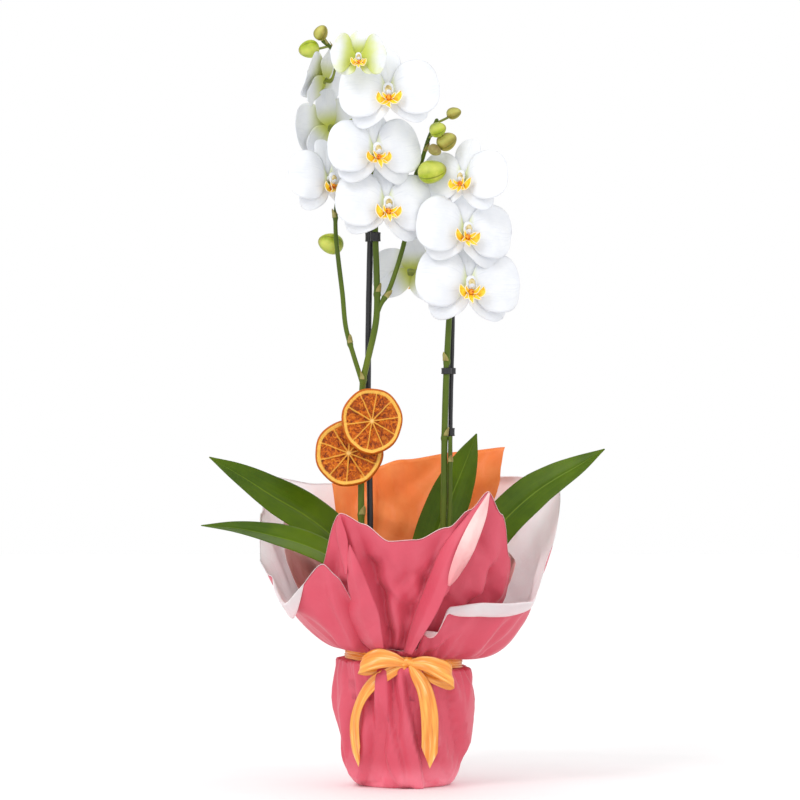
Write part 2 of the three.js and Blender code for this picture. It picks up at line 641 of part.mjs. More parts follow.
// Each bud: centre, half length, half width, lean of its tip from straight up towards +X, and its stem.
const BUDS = [
  { at: [-82, -25, 751], long: 8, wide: 7, lean: -40, on: LEFT_SPIKE, joins: 733 },
  { at: [-94, -22, 733], long: 10, wide: 9, lean: -80, on: LEFT_SPIKE, joins: 735 },
  { at: [-72, 12, 541], long: 14, wide: 11, lean: -85, on: LEFT_BRANCH, joins: 545 },
  { at: [50, -26, 668], long: 7, wide: 6, lean: 80, on: RIGHT_BRANCH, joins: 658 },
  { at: [26, -36, 654], long: 8, wide: 7, lean: 0, on: RIGHT_BRANCH, joins: 644 },
  { at: [47, -26, 643], long: 10, wide: 8, lean: 20, on: RIGHT_BRANCH, joins: 652 },
  { at: [39, -32, 628], long: 6, wide: 6, lean: 60, on: RIGHT_BRANCH, joins: 634 },
  { at: [29, -27, 612], long: 14, wide: 11.5, lean: 85, on: RIGHT_BRANCH, joins: 600 },
];

function addBuds() {
  BUDS.forEach(({ at, long, wide, lean, on: stalkOf, joins }, i) => {
    const centre = point(...raised(at));
    const head = new THREE.SphereGeometry(1, 8, 6).rotateX(Math.PI / 2).scale(wide, wide, long)
      .rotateY(radians(lean)).translate(...centre);
    const stalk = pedicel(centre, point(0, 0.6, -0.4), stalkOf, plantHeight(joins), 4);
    addPiece(`bud_${i + 1}`, joined(head, stalk), budGreen);
  });
}

// ---------- dried orange slices ----------
const SLICES = [
  { name: "orange_slice_upper", at: [-31.5, -22.5, 363], turn: 4, tilt: 3, wide: 0.92, tall: 1 },
  { name: "orange_slice_lower", at: [-54.5, -14, 331], turn: -3, tilt: 3, wide: 1.03, tall: 1 },
];

function addSlices() {
  SLICES.forEach(({ name, at, turn, tilt, wide, tall }) => {
    const half = SLICE_THICKNESS / 2;
    const disc = turned([
      [0, -half], [SLICE_RADIUS - 2, -half], [SLICE_RADIUS, -half + 1.5], [SLICE_RADIUS, half - 1.5],
      [SLICE_RADIUS - 2, half], [0, half],
    ], 20);
    disc.rotateX(Math.PI / 2).scale(wide, 1, tall).rotateX(radians(-tilt)).rotateZ(radians(turn))
      .translate(...raised(at));
    addPiece(name, disc, driedOrange);
  });
  const wire = smoothPath([
    [-27, -19.8, 352], [-27.5, -8, 352], [-28, 2, 352], [-31, 9.2, 352], [-38, 9, 351.5],
    [-39.8 - SPIKE_RADIUS, 3.8, 351], [-42.8 - SPIKE_RADIUS, -2, 350], [-44.8 - SPIKE_RADIUS, -9, 349],
  ].map(raised));
  addPiece("slice_wire", evenTube(wire, WIRE_RADIUS, 16, 5), wireBrown);
}

// ---------- ribbon ----------
const BOW_FRONT = -(BODY_RADIUS + BODY_PLEAT_DEPTH + SEAT_GAP);

function ribbonBand() {
  const columns = PLEATS * PLEAT_COLUMNS;
  const rings = [];
  const inner = NECK_RADIUS + 0.2 + 0.3 * BODY_PLEAT_DEPTH + SEAT_GAP;
  const outer = inner + RIBBON_THICKNESS;
  for (let i = 0; i < columns; i += 1) {
    const angle = (2 * Math.PI * i) / columns;
    const middle = neckHeight(angle);
    const half = NECK_HALF_BAND - 0.6;
    const corner = (radius, height) => point(radius * Math.cos(angle), radius * Math.sin(angle), height);
    rings.push([
      corner(inner, middle - half), corner(outer, middle - half),
      corner(outer, middle + half), corner(inner, middle + half),
    ]);
  }
  return ringOf(rings);
}

// A closed band: the last ring joins the first.
function ringOf(rings) {
  const size = rings[0].length;
  const triangles = [];
  rings.forEach((ring, i) => {
    const next = (i + 1) % rings.length;
    for (let j = 0; j < size; j += 1) {
      const k = (j + 1) % size;
      const [a, b, c, d] = [i * size + j, i * size + k, next * size + k, next * size + j];
      triangles.push(a, b, c, a, c, d);
    }
  });
  const geometry = new THREE.BufferGeometry();
  const places = rings.flat().flatMap((p) => [p.x, p.y, p.z]);
  geometry.setAttribute("position", new THREE.Float32BufferAttribute(places, 3));
  geometry.setIndex(triangles);
  return geometry;
}

// A ribbon strip along a path, given its face direction.
function strip(path, faces, width, steps) {
  return blade({
    spine: smoothPath(path),
    faceNormal: point(...faces).normalize(),
    halfWidth: () => width / 2,
    fold: 0,
    thickness: RIBBON_THICKNESS,
    stations: steps,
    across: 3,
  });
}

const KNOT_BACK = NECK_RADIUS + 2.1;
const KNOT_FRONT = -BOW_FRONT - 1.5;
const KNOT = [4.5, -(KNOT_BACK + KNOT_FRONT) / 2, NECK_HEIGHT];

function loop(tip, rise) {
  const [x, y, z] = [KNOT[0], BOW_FRONT + 1, KNOT[2]];
  const halfway = THREE.MathUtils.lerp(x, tip[0], 0.5);
  const path = smoothPath([
    [x, y, z + 2], [halfway, tip[1] - 6, tip[2] + rise],
    [tip[0], tip[1], tip[2] + rise / 2], [tip[0], tip[1], tip[2] - rise / 2],
    [halfway, tip[1] - 2, tip[2] - rise], [x, y, z - 2],
  ]);
  return evenTube(path, RIBBON_WIDTH / 7, 14, 5);
}

function addRibbon() {
  addPiece("ribbon_band", ribbonBand(), satin);
  const knot = new THREE.SphereGeometry(1, 8, 6).scale(6.5, (KNOT_FRONT - KNOT_BACK) / 2, 4.8).translate(...KNOT);
  const hung = ([x, out, z]) => [x, BOW_FRONT + out, tiedHeight(z)];
  const leftTail = strip([
    [2, 1, 125], [-12, -1.5, 117], [-30, 3, 107], [-42, 10, 92], [-49, 14, 72], [-48, 15, 52], [-42, 14, 29],
  ].map(hung), [-0.85, -0.5, 0.1], RIBBON_WIDTH * 0.6, 8);
  const rightTail = strip([
    [6, 1, 125], [13, -2, 115], [22, -0.5, 100], [26, 1.5, 78], [26, 4, 55], [22, 7, 33],
  ].map(hung), [0.3, -0.95, 0.05], RIBBON_WIDTH, 8);
  const leftLoop = loop(hung([-39, -1.5, 130]), 9);
  const rightLoop = loop(hung([44, -1.5, 121]), 11);
  addPiece("ribbon_bow", joined(knot, leftLoop, rightLoop, leftTail, rightTail), satin);
}

addPaper();
addSupports();
addCrown();
addLeaves();
addSpikes();
addClips();
addFlowers();
addBuds();
addSlices();
addRibbon();

export default model;
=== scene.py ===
# Potted moth orchid wrapped in rose paper with an orange satin bow. Shapes are in millimetres until they become meshes.
import math

import bpy
import numpy as np
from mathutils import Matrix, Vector


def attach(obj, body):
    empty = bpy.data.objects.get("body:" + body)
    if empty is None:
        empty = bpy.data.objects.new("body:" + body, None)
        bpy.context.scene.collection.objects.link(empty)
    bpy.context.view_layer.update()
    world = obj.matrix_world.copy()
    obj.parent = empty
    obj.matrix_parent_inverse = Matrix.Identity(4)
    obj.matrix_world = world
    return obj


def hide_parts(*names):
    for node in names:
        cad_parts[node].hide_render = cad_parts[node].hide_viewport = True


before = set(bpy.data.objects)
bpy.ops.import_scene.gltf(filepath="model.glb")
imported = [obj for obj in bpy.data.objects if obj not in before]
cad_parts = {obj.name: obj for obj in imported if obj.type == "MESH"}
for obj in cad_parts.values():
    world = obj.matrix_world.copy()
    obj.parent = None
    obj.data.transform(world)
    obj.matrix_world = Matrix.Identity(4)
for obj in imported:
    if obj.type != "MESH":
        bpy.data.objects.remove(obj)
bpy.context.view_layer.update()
MM = 0.001


# ---------- numbers and curves ----------
def smooth(x, low, high):
    """0 below low, 1 above high, and a smooth rise between."""
    t = np.clip((np.asarray(x, float) - low) / (high - low), 0, 1)
    return t * t * (3 - 2 * t)


def resample(points, count):
    """Evenly spaced points along a polyline, with any number of columns after x, y and z."""
    steps = np.linalg.norm(np.diff(points[:, :3], axis=0), axis=1)
    run = np.concatenate([[0], np.cumsum(steps)])
    even = np.linspace(0, run[-1], count)
    return np.stack([np.interp(even, run, points[:, k]) for k in range(points.shape[1])], axis=1)


def smooth_path(points, count):
    """Centripetal Catmull-Rom curve through the points, evenly spaced. Columns after z are carried along."""
    p = np.array(points, float)
    p = np.vstack([2 * p[0] - p[1], p, 2 * p[-1] - p[-2]])
    gaps = np.maximum(np.linalg.norm(np.diff(p[:, :3], axis=0), axis=1), 1e-6) ** 0.5
    knots = np.concatenate([[0], np.cumsum(gaps)])
    pieces = []
    for i in range(1, len(p) - 2):
        t = np.linspace(knots[i], knots[i + 1], 24, endpoint=False)[:, None]
        k0, k1, k2, k3 = knots[i - 1:i + 3]
        a1 = (k1 - t) / (k1 - k0) * p[i - 1] + (t - k0) / (k1 - k0) * p[i]
        a2 = (k2 - t) / (k2 - k1) * p[i] + (t - k1) / (k2 - k1) * p[i + 1]
        a3 = (k3 - t) / (k3 - k2) * p[i + 1] + (t - k2) / (k3 - k2) * p[i + 2]
        b1 = (k2 - t) / (k2 - k0) * a1 + (t - k0) / (k2 - k0) * a2
        b2 = (k3 - t) / (k3 - k1) * a2 + (t - k1) / (k3 - k1) * a3
        pieces.append((k2 - t) / (k2 - k1) * b1 + (t - k1) / (k2 - k1) * b2)
    pieces.append(p[-2:-1])
    return resample(np.vstack(pieces), count)


def unit(v):
    return v / np.maximum(np.linalg.norm(v, axis=-1, keepdims=True), 1e-9)


def width_curve(samples, t):
    """Smooth half width at each t from 0 to 1, through evenly spaced samples."""
    spots = np.stack([np.linspace(0, 1, len(samples)), samples, np.zeros(len(samples))], axis=1)
    curve = smooth_path(spots, 200)
    return np.maximum(np.interp(t, curve[:, 0], curve[:, 1]), 0.02)


def index_at_height(path, height):
    """Index of the first point of a rising path at a height."""
    above = np.nonzero(path[:, 2] >= height)[0]
    return int(above[0]) if len(above) else len(path) - 1


def turns(count):
    """Even angles once around, without the last."""
    return np.linspace(0, 2 * math.pi, count, endpoint=False)


def about_axis(radius, angle, height):
    """Points at a radius and angle about the upright axis, or vectors with those parts."""
    return np.stack([radius * np.cos(angle), radius * np.sin(angle), height], axis=-1)


# ---------- meshes ----------
class Shape:
    """Collects surfaces, each with a material index and texture coordinates, for one piece."""

    def __init__(self):
        self.vertices, self.faces, self.slots, self.uvs = [], [], [], []
        self.count = 0

    def add(self, vertices, faces, slots, uvs=None):
        vertices = np.asarray(vertices, float).reshape(-1, 3)
        if uvs is None:
            uvs = np.zeros((len(vertices), 2))
        self.vertices.append(vertices)
        self.uvs.append(np.asarray(uvs, float).reshape(-1, 2))
        self.faces += [[k + self.count for k in face] for face in faces]
        self.slots += list(slots) if np.ndim(slots) else [slots] * len(faces)
        self.count += len(vertices)

    def place(self, matrix, offset):
        self.vertices = [v @ matrix.T + offset for v in self.vertices]


def grid_faces(rows, cols, around):
    i = np.arange(rows - 1)[:, None]
    j = np.arange(cols if around else cols - 1)[None, :]
    k = (j + 1) % cols
    return np.stack([i * cols + j, i * cols + k, (i + 1) * cols + k, (i + 1) * cols + j], axis=-1).reshape(-1, 4)


def surface_normals(grid, around):
    across = (np.roll(grid, -1, 1) - np.roll(grid, 1, 1)) if around else np.gradient(grid, axis=1)
    return unit(np.cross(across, np.gradient(grid, axis=0)))


def thin_sheet(shape, grid, thickness, slots=(0, 0, 0), around=False, uvs=None, normal=None):
    """A closed thin sheet about a middle surface (rows x columns x 3).

    slots are the material indices of front, back and edge. normal is the way its thickness goes, where that isn't
    the surface's own normal.
    """
    rows, cols = grid.shape[:2]
    if normal is None:
        normal = surface_normals(grid, around)
    half = np.broadcast_to(np.asarray(thickness, float), (rows, cols))[..., None] / 2
    vertices = np.concatenate([(grid + normal * half).reshape(-1, 3), (grid - normal * half).reshape(-1, 3)])
    quads = grid_faces(rows, cols, around)
    front = np.concatenate([quads[:, [0, 1, 2]], quads[:, [0, 2, 3]]])  # the same diagonals on both sides
    size = rows * cols
    faces = front.tolist() + (front[:, ::-1] + size).tolist()
    kinds = [slots[0]] * len(front) + [slots[1]] * len(front)
    rims = [[j for j in range(cols)], [(rows - 1) * cols + j for j in range(cols - 1, -1, -1)]]
    if around:
        rims = [rim + rim[:1] for rim in rims]
    else:
        rims += [[i * cols for i in range(rows - 1, -1, -1)], [i * cols + cols - 1 for i in range(rows)]]
    for rim in rims:
        for a, b in zip(rim, rim[1:]):
            faces.append([b, a, a + size, b + size])
            kinds.append(slots[2])
    if uvs is None:
        v, u = np.meshgrid(np.linspace(0, 1, cols), np.linspace(0, 1, rows))
        uvs = np.stack([v, u], axis=-1)
    flat = uvs.reshape(-1, 2)
    shape.add(vertices, faces, kinds, np.concatenate([flat, flat]))


def tube(shape, path, radii, sides=12, slot=0):
    """A round stem along a path, with domed ends."""
    path = np.asarray(path, float)
    radii = np.broadcast_to(np.asarray(radii, float), len(path)).copy()
    first, last = path[0] - path[1], path[-1] - path[-2]
    first, last = first / np.linalg.norm(first), last / np.linalg.norm(last)
    caps = [(0.95, 0.35), (0.6, 0.8)]
    head = [path[0] + first * radii[0] * a for a, _ in caps]
    tail = [path[-1] + last * radii[-1] * a for a, _ in reversed(caps)]
    path = np.vstack([head, path, tail])
    radii = np.concatenate([[radii[0] * b for _, b in caps], radii, [radii[-1] * b for _, b in reversed(caps)]])
    tangent = unit(np.gradient(path, axis=0))
    side = np.cross(tangent[0], [0.31, 0.83, 0.46])
    rings = []
    for k, point in enumerate(path):
        side = side - tangent[k] * side.dot(tangent[k])
        side = side / np.linalg.norm(side)
        other = np.cross(tangent[k], side)
        turn = turns(sides)[:, None]
        rings.append(point + radii[k] * (np.cos(turn) * side + np.sin(turn) * other))
    rows = len(path)
    faces = grid_faces(rows, sides, True).tolist()
    faces += [list(range(sides - 1, -1, -1)), [(rows - 1) * sides + j for j in range(sides)]]
    around, along = np.meshgrid(np.linspace(0, 1, sides), np.linspace(0, 1, rows))
    shape.add(np.vstack(rings), faces, slot, np.stack([around, along], axis=-1))


def blob(shape, centre, axes, sizes, slot=0, rings=14, sides=20, warp=None):
    """A closed rounded body: axes is a 3x3 of row vectors, and warp changes the unit sphere's points."""
    polar = np.linspace(0, math.pi, rings + 1)[1:-1, None]
    turn = turns(sides)[None, :]
    body = np.stack([
        np.sin(polar) * np.cos(turn), np.sin(polar) * np.sin(turn), np.cos(polar) * np.ones_like(turn),
    ], axis=-1).reshape(-1, 3)
    points = np.vstack([body, [[0, 0, 1], [0, 0, -1]]])
    if warp is not None:
        points = warp(points)
    placed = (points * np.array(sizes)) @ np.array(axes) + np.array(centre)
    faces = grid_faces(rings - 1, sides, True)[:, ::-1].tolist()
    top, bottom = len(body), len(body) + 1
    last = (rings - 2) * sides
    for j in range(sides):
        k = (j + 1) % sides
        faces.append([j, k, top])
        faces.append([last + k, last + j, bottom])
    uvs = np.stack([np.arctan2(points[:, 1], points[:, 0]) / 2 / math.pi + 0.5, points[:, 2] / 2 + 0.5], axis=1)
    shape.add(placed, faces, slot, uvs)


def make_piece(name, shape, materials):
    """One mesh object in metres, riding on the part, that stands for the CAD node it is named after."""
    mesh = bpy.data.meshes.new(name + "_look")
    vertices = np.concatenate(shape.vertices) * MM
    mesh.from_pydata(vertices.tolist(), [], shape.faces)
    for material in materials:
        mesh.materials.append(PAINTS[material])
    mesh.polygons.foreach_set("material_index", np.array(shape.slots, np.int32))
    mesh.polygons.foreach_set("use_smooth", np.ones(len(mesh.polygons), bool))
    index = np.zeros(len(mesh.loops), np.int32)
    mesh.loops.foreach_get("vertex_index", index)
    layer = mesh.uv_layers.new(name="UVMap")
    layer.data.foreach_set("uv", np.concatenate(shape.uvs)[index].astype(np.float32).ravel())
    mesh.validate()
    mesh.update()
    piece = bpy.data.objects.new(name + "_look", mesh)
    bpy.context.scene.collection.objects.link(piece)
    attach(piece, "root")
    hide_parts(name)
    return piece


# ---------- material nodes ----------
SEAM_PHASE = 0.0703  # where the modelled seams lie, in thirds of a turn
SEGMENTS = 10


def rgba(red, green, blue):
    """A linear colour from 0-255 screen values."""
    return tuple(((c / 255 + 0.055) / 1.055) ** 2.4 if c > 10 else c / 3294.6 for c in (red, green, blue)) + (1,)


class Paint:
    """A Principled material and short ways to add its procedural nodes."""

    def __init__(self, name, **sockets):
        self.material = bpy.data.materials.new(name)
        self.material.use_nodes = True
        self.tree = self.material.node_tree
        self.shader = self.tree.nodes["Principled BSDF"]
        for key, value in sockets.items():
            self.shader.inputs[key.replace("_", " ")].default_value = value

    def node(self, kind, inputs=None, **settings):
        made = self.tree.nodes.new(kind)
        for key, value in settings.items():
            setattr(made, key, value)
        for key, value in (inputs or {}).items():
            if isinstance(value, bpy.types.NodeSocket):
                self.tree.links.new(value, made.inputs[key])
            else:
                made.inputs[key].default_value = value
        return made

    def where(self, stretch=(1, 1, 1), source="Object"):
        coordinates = self.node("ShaderNodeTexCoord")
        mapping = self.node("ShaderNodeMapping", {"Vector": coordinates.outputs[source], "Scale": stretch})
        return mapping.outputs["Vector"]

    def noise(self, place, scale, detail=4.0, roughness=0.55, distortion=0.0):
        made = self.node("ShaderNodeTexNoise", {
            "Vector": place, "Scale": scale, "Detail": detail, "Roughness": roughness, "Distortion": distortion,
        })
        return made.outputs["Fac"]

    def split(self, place):
        return self.node("ShaderNodeSeparateXYZ", {"Vector": place}).outputs

    def math(self, operation, a, b=0.0):
        return self.node("ShaderNodeMath", {0: a, 1: b}, operation=operation).outputs[0]

    def ramp(self, factor, stops):
        made = self.node("ShaderNodeValToRGB", {"Fac": factor})
        band = made.color_ramp
        while len(band.elements) < len(stops):
            band.elements.new(0.5)
        for element, (place, colour) in zip(band.elements, stops):
            element.position = place
            element.color = colour
        return made.outputs["Color"]

    def grey(self, factor, low, high):
        """0 at low and 1 at high, smoothly."""
        made = self.node("ShaderNodeMapRange", {"Value": factor, "From Min": low, "From Max": high},
                         interpolation_type="SMOOTHSTEP")
        return made.outputs["Result"]

    def mix(self, factor, a, b):
        made = self.node("ShaderNodeMix", data_type="RGBA")
        for key, value in ((0, factor), (6, a), (7, b)):
            if isinstance(value, bpy.types.NodeSocket):
                self.tree.links.new(value, made.inputs[key])
            else:
                made.inputs[key].default_value = value
        return made.outputs[2]

    def layer(self, base, factor, low, high, strength, colour):
        """A colour laid over the base, more and more as the factor goes from low to high."""
        return self.mix(self.math("MULTIPLY", self.grey(factor, low, high), strength), base, colour)

    def off_centre(self, value):
        """How far a value is from a half."""
        return self.math("ABSOLUTE", self.math("SUBTRACT", value, 0.5))

    def streaks(self, across, along, fine, coarse, detail, roughness=0.55, distortion=0.0, shift=0.0):
        """Noise in streaks that run along a petal, leaf or ribbon."""
        place = self.node("ShaderNodeCombineXYZ", {
            "X": self.math("MULTIPLY", across, fine), "Y": self.math("MULTIPLY", along, coarse), "Z": shift,
        }).outputs["Vector"]
        return self.noise(place, 1.0, detail, roughness, distortion)

    def colour(self, socket):
        self.tree.links.new(socket, self.shader.inputs["Base Color"])

    def rough(self, factor, low, high):
        made = self.node("ShaderNodeMapRange", {"Value": factor, "To Min": low, "To Max": high})
        self.tree.links.new(made.outputs["Result"], self.shader.inputs["Roughness"])

    def bump(self, heights):
        """Stacks bumps, each (height, strength, distance in metres)."""
        normal = None
        for height, strength, distance in heights:
            inputs = {"Height": height, "Strength": strength, "Distance": distance}
            if normal is not None:
                inputs["Normal"] = normal
            normal = self.node("ShaderNodeBump", inputs).outputs["Normal"]
        self.tree.links.new(normal, self.shader.inputs["Normal"])


def paper_paint(name, light, dark, shade_tone, shade_below, shade_above, glow=0.0, roughness=0.44):
    """Thin wrapping paper: fibres, cloudy colour, fine crumples, and painted shade: a deeper tone low inside the wrap,
    below the two heights given.
    """
    paint = Paint(name, Roughness=roughness, Sheen_Weight=0.08, Specular_IOR_Level=0.35,
                  Subsurface_Weight=glow, Subsurface_Scale=0.003)
    paint.shader.inputs["Subsurface Radius"].default_value = (1.0, 0.85, 0.85)
    place = paint.where()
    clouds = paint.noise(place, 26, 5)
    fibres = paint.noise(paint.where((1, 1, 0.16)), 900, 3)
    grain = paint.noise(place, 1500, 2)
    base = paint.mix(paint.grey(clouds, 0.35, 0.7), dark, light)
    base = paint.layer(base, fibres, 0.52, 0.75, 0.22, light)
    # Painted shade: the colour deepens towards the last colour given below the two heights, where the inside of the
    # wrap lies in shade.
    height = paint.split(place)[2]
    low = paint.grey(height, shade_above, shade_below)
    base = paint.mix(paint.math("MULTIPLY", low, 0.85), base, shade_tone)
    paint.colour(base)
    crumple = paint.node("ShaderNodeTexVoronoi", {"Vector": place, "Scale": 85.0}, feature="DISTANCE_TO_EDGE")
    ridges = paint.grey(crumple.outputs["Distance"], 0.0, 0.12)
    paint.bump([(ridges, 0.08, 0.001), (clouds, 0.12, 0.002), (fibres, 0.1, 0.0004), (grain, 0.08, 0.0002)])
    paint.rough(clouds, roughness - 0.08, roughness + 0.12)
    return paint.material


def petal_paint(name, white, tint, reach):
    """White petal: a tint at its base, fine fanned veins and a soft glow from within."""
    paint = Paint(name, Roughness=0.5, Subsurface_Weight=0.18, Subsurface_Scale=0.004, Sheen_Weight=0.08,
                  Specular_IOR_Level=0.35)
    paint.shader.inputs["Subsurface Radius"].default_value = (1.0, 0.95, 0.8)
    place = paint.where(source="UV")
    across, along, _ = paint.split(place)
    veins = paint.streaks(across, along, 26.0, 1.6, 3, 0.6, 0.6)
    clouds = paint.noise(paint.where(), 60, 4)
    cells = paint.noise(paint.where(), 1400, 2)
    base = paint.mix(paint.grey(clouds, 0.3, 0.75), rgba(226, 229, 235), white)
    base = paint.layer(base, veins, 0.52, 0.72, 0.35, rgba(208, 213, 222))
    base = paint.mix(paint.grey(along, reach, 0.0), base, tint)
    paint.colour(base)
    paint.bump([(veins, 0.25, 0.0008), (cells, 0.06, 0.0002)])
    return paint.material


def screen_stops(stops):
    """Colour stops from rows of place, red, green and blue."""
    return [(place, rgba(*screen)) for place, *screen in stops]


def plain_paint(name, stops, scale, roughness, bumps=(0.3, 0.0006), stretch=(1, 1, 1), **sockets):
    """Cloudy colour between the stops, with coarse and fine bump."""
    paint = Paint(name, Roughness=roughness, **sockets)
    place = paint.where(stretch)
    clouds = paint.noise(place, scale, 5)
    grain = paint.noise(paint.where(), 900, 3)
    paint.colour(paint.ramp(clouds, screen_stops(stops)))
    paint.rough(clouds, max(roughness - 0.08, 0.05), roughness + 0.1)
    paint.bump([(clouds, bumps[0], bumps[1]), (grain, 0.12, 0.0002)])
    return paint.material


def leaf_paint(name, light, dark):
    """Glossy strap leaf: lengthwise veins, a pale midrib line and mottled green."""
    paint = Paint(name, Roughness=0.34, Coat_Weight=0.03, Coat_Roughness=0.25, Specular_IOR_Level=0.16,
                  Subsurface_Weight=0.04, Subsurface_Scale=0.003)
    across, along, _ = paint.split(paint.where(source="UV"))
    veins = paint.streaks(across, along, 34.0, 2.0, 3)
    mottle = paint.noise(paint.where(), 16, 4)
    rib = paint.grey(paint.off_centre(across), 0.035, 0.0)
    base = paint.mix(paint.grey(mottle, 0.25, 0.8), dark, light)
    base = paint.layer(base, veins, 0.5, 0.7, 0.2, light)
    base = paint.mix(paint.math("MULTIPLY", rib, 0.4), base, rgba(138, 164, 50))
    base = paint.mix(paint.grey(along, 0.2, 0.0), base, rgba(118, 92, 60))
    paint.colour(base)
    paint.rough(mottle, 0.3, 0.48)
    paint.bump([(veins, 0.22, 0.0008), (mottle, 0.2, 0.001), (paint.noise(paint.where(), 1100, 2), 0.05, 0.0002)])
    return paint.material


def satin_paint():
    """Orange satin ribbon: painted lengthwise gleam, painted highlight and shade streaks, a fine cross weave and soft
    folds.
    """
    paint = Paint("orange_satin", Roughness=0.26, Sheen_Weight=0.25, Sheen_Roughness=0.35, Anisotropic=0.55,
                  Specular_IOR_Level=0.8)
    across, along, _ = paint.split(paint.where(source="UV"))
    threads = paint.node("ShaderNodeTexWave", {
        "Vector": paint.node("ShaderNodeCombineXYZ", {"X": along, "Y": across, "Z": 0.0}).outputs["Vector"],
        "Scale": 120.0, "Distortion": 0.6,
    }, wave_type="BANDS", bands_direction="X").outputs["Fac"]
    gleam = paint.streaks(across, along, 3.0, 1.6, 3)
    # Painted highlight: lighter lengthwise bands where the gleam noise is high.
    base = paint.mix(paint.grey(gleam, 0.3, 0.7), rgba(232, 132, 22), rgba(255, 186, 76))
    streaks = paint.streaks(across, along, 7.0, 2.4, 2, shift=3.0)
    # Painted highlight streaks, then painted shade in the low parts of the same streaks.
    base = paint.layer(base, streaks, 0.55, 0.72, 0.7, rgba(255, 222, 156))
    base = paint.layer(base, streaks, 0.42, 0.28, 0.6, rgba(206, 104, 12))
    edge = paint.grey(paint.off_centre(across), 0.44, 0.5)
    base = paint.mix(paint.math("MULTIPLY", edge, 0.35), base, rgba(196, 98, 14))
    paint.colour(base)
    paint.rough(gleam, 0.24, 0.4)
    paint.bump([(gleam, 0.25, 0.0012), (threads, 0.08, 0.0002)])
    return paint.material


def bud_paint(name, stops):
    """Bud skin: cloudy green between three dark seams, browner towards the tip."""
    paint = Paint(name, Roughness=0.42, Specular_IOR_Level=0.35, Subsurface_Weight=0.08, Subsurface_Scale=0.003)
    around, along, _ = paint.split(paint.where(source="UV"))
    clouds = paint.noise(paint.where(), 90, 5)
    lobes = paint.math("FRACT", paint.math("SUBTRACT", paint.math("MULTIPLY", around, 3.0), SEAM_PHASE))
    between = paint.math("SUBTRACT", 0.5, paint.off_centre(lobes))
    base = paint.ramp(clouds, screen_stops(stops))
    base = paint.layer(base, between, 0.1, 0.42, 0.45, rgba(222, 222, 120))
    base = paint.layer(base, between, 0.06, 0.0, 0.75, rgba(84, 96, 8))
    base = paint.layer(base, along, 0.82, 1.0, 0.6, rgba(128, 110, 40))
    paint.colour(base)
    paint.rough(clouds, 0.34, 0.5)
    paint.bump([(between, 0.3, 0.001), (clouds, 0.25, 0.0006), (paint.noise(paint.where(), 900, 3), 0.1, 0.0002)])
    return paint.material


def slice_paint():
    """Dried orange slice. Texture coordinates hold the segment count around and the radius."""
    paint = Paint("dried_orange", Roughness=0.48, Subsurface_Weight=0.05, Subsurface_Scale=0.003,
                  Specular_IOR_Level=0.25)
    place = paint.where()
    around, radius, _ = paint.split(paint.where(source="UV"))
    wobble = paint.math("MULTIPLY", paint.math("SUBTRACT", paint.noise(place, 120, 3), 0.5), 0.16)
    turn = paint.math("FRACT", paint.math("ADD", around, wobble))
    beside = paint.math("MULTIPLY", paint.off_centre(turn), radius)
    pulp = paint.noise(place, 240, 5, 0.6, 1.2)
    dark = paint.noise(place, 70, 4)
    flesh = paint.ramp(pulp, [(0.32, rgba(84, 28, 2)), (0.46, rgba(164, 70, 2)), (0.6, rgba(214, 110, 8)),
                              (0.78, rgba(250, 184, 70))])
    flesh = paint.mix(paint.math("MULTIPLY", paint.grey(dark, 0.5, 0.75), 0.55), flesh, rgba(84, 32, 4))
    membrane = paint.grey(beside, 0.05, 0.015)
    base = paint.mix(paint.math("MULTIPLY", membrane, 0.75), flesh, rgba(240, 178, 70))
    edge = paint.math("ADD", radius, paint.math("MULTIPLY", wobble, 0.35))
    base = paint.layer(base, edge, 0.83, 0.87, 0.9, rgba(250, 196, 88))
    base = paint.mix(paint.grey(edge, 0.925, 0.955), base, rgba(190, 92, 2))
    heart = paint.grey(radius, 0.09, 0.03)
    base = paint.mix(paint.math("MULTIPLY", heart, 0.7), base, rgba(248, 206, 130))
    paint.colour(base)
    paint.rough(pulp, 0.3, 0.6)
    paint.bump([(pulp, 0.8, 0.0018), (dark, 0.4, 0.002), (paint.noise(place, 900, 2), 0.2, 0.0003)])
    return paint.material


def lip_paint():
    """Orchid lip: yellow wings, orange heart with red spots, and pale margins. v runs from the base outwards."""
    paint = Paint("lip_yellow", Roughness=0.4, Subsurface_Weight=0.12, Subsurface_Scale=0.002)
    across, along, _ = paint.split(paint.where(source="UV"))
    place = paint.where()
    spots = paint.node("ShaderNodeTexVoronoi", {"Vector": place, "Scale": 700.0}).outputs["Distance"]
    clouds = paint.noise(place, 320, 3)
    base = paint.mix(paint.grey(clouds, 0.35, 0.7), rgba(250, 190, 4), rgba(255, 224, 50))
    base = paint.mix(paint.math("MULTIPLY", paint.grey(spots, 0.36, 0.2), paint.grey(along, 0.55, 0.2)),
                     base, rgba(178, 56, 14))
    rim = paint.grey(paint.off_centre(across), 0.38, 0.48)
    base = paint.mix(paint.grey(along, 0.32, 0.05), base, rgba(238, 140, 10))
    base = paint.mix(paint.math("MULTIPLY", rim, 0.85), base, rgba(250, 246, 224))
    paint.colour(base)
    paint.bump([(clouds, 0.3, 0.0005), (spots, 0.2, 0.0003)])
    return paint.material


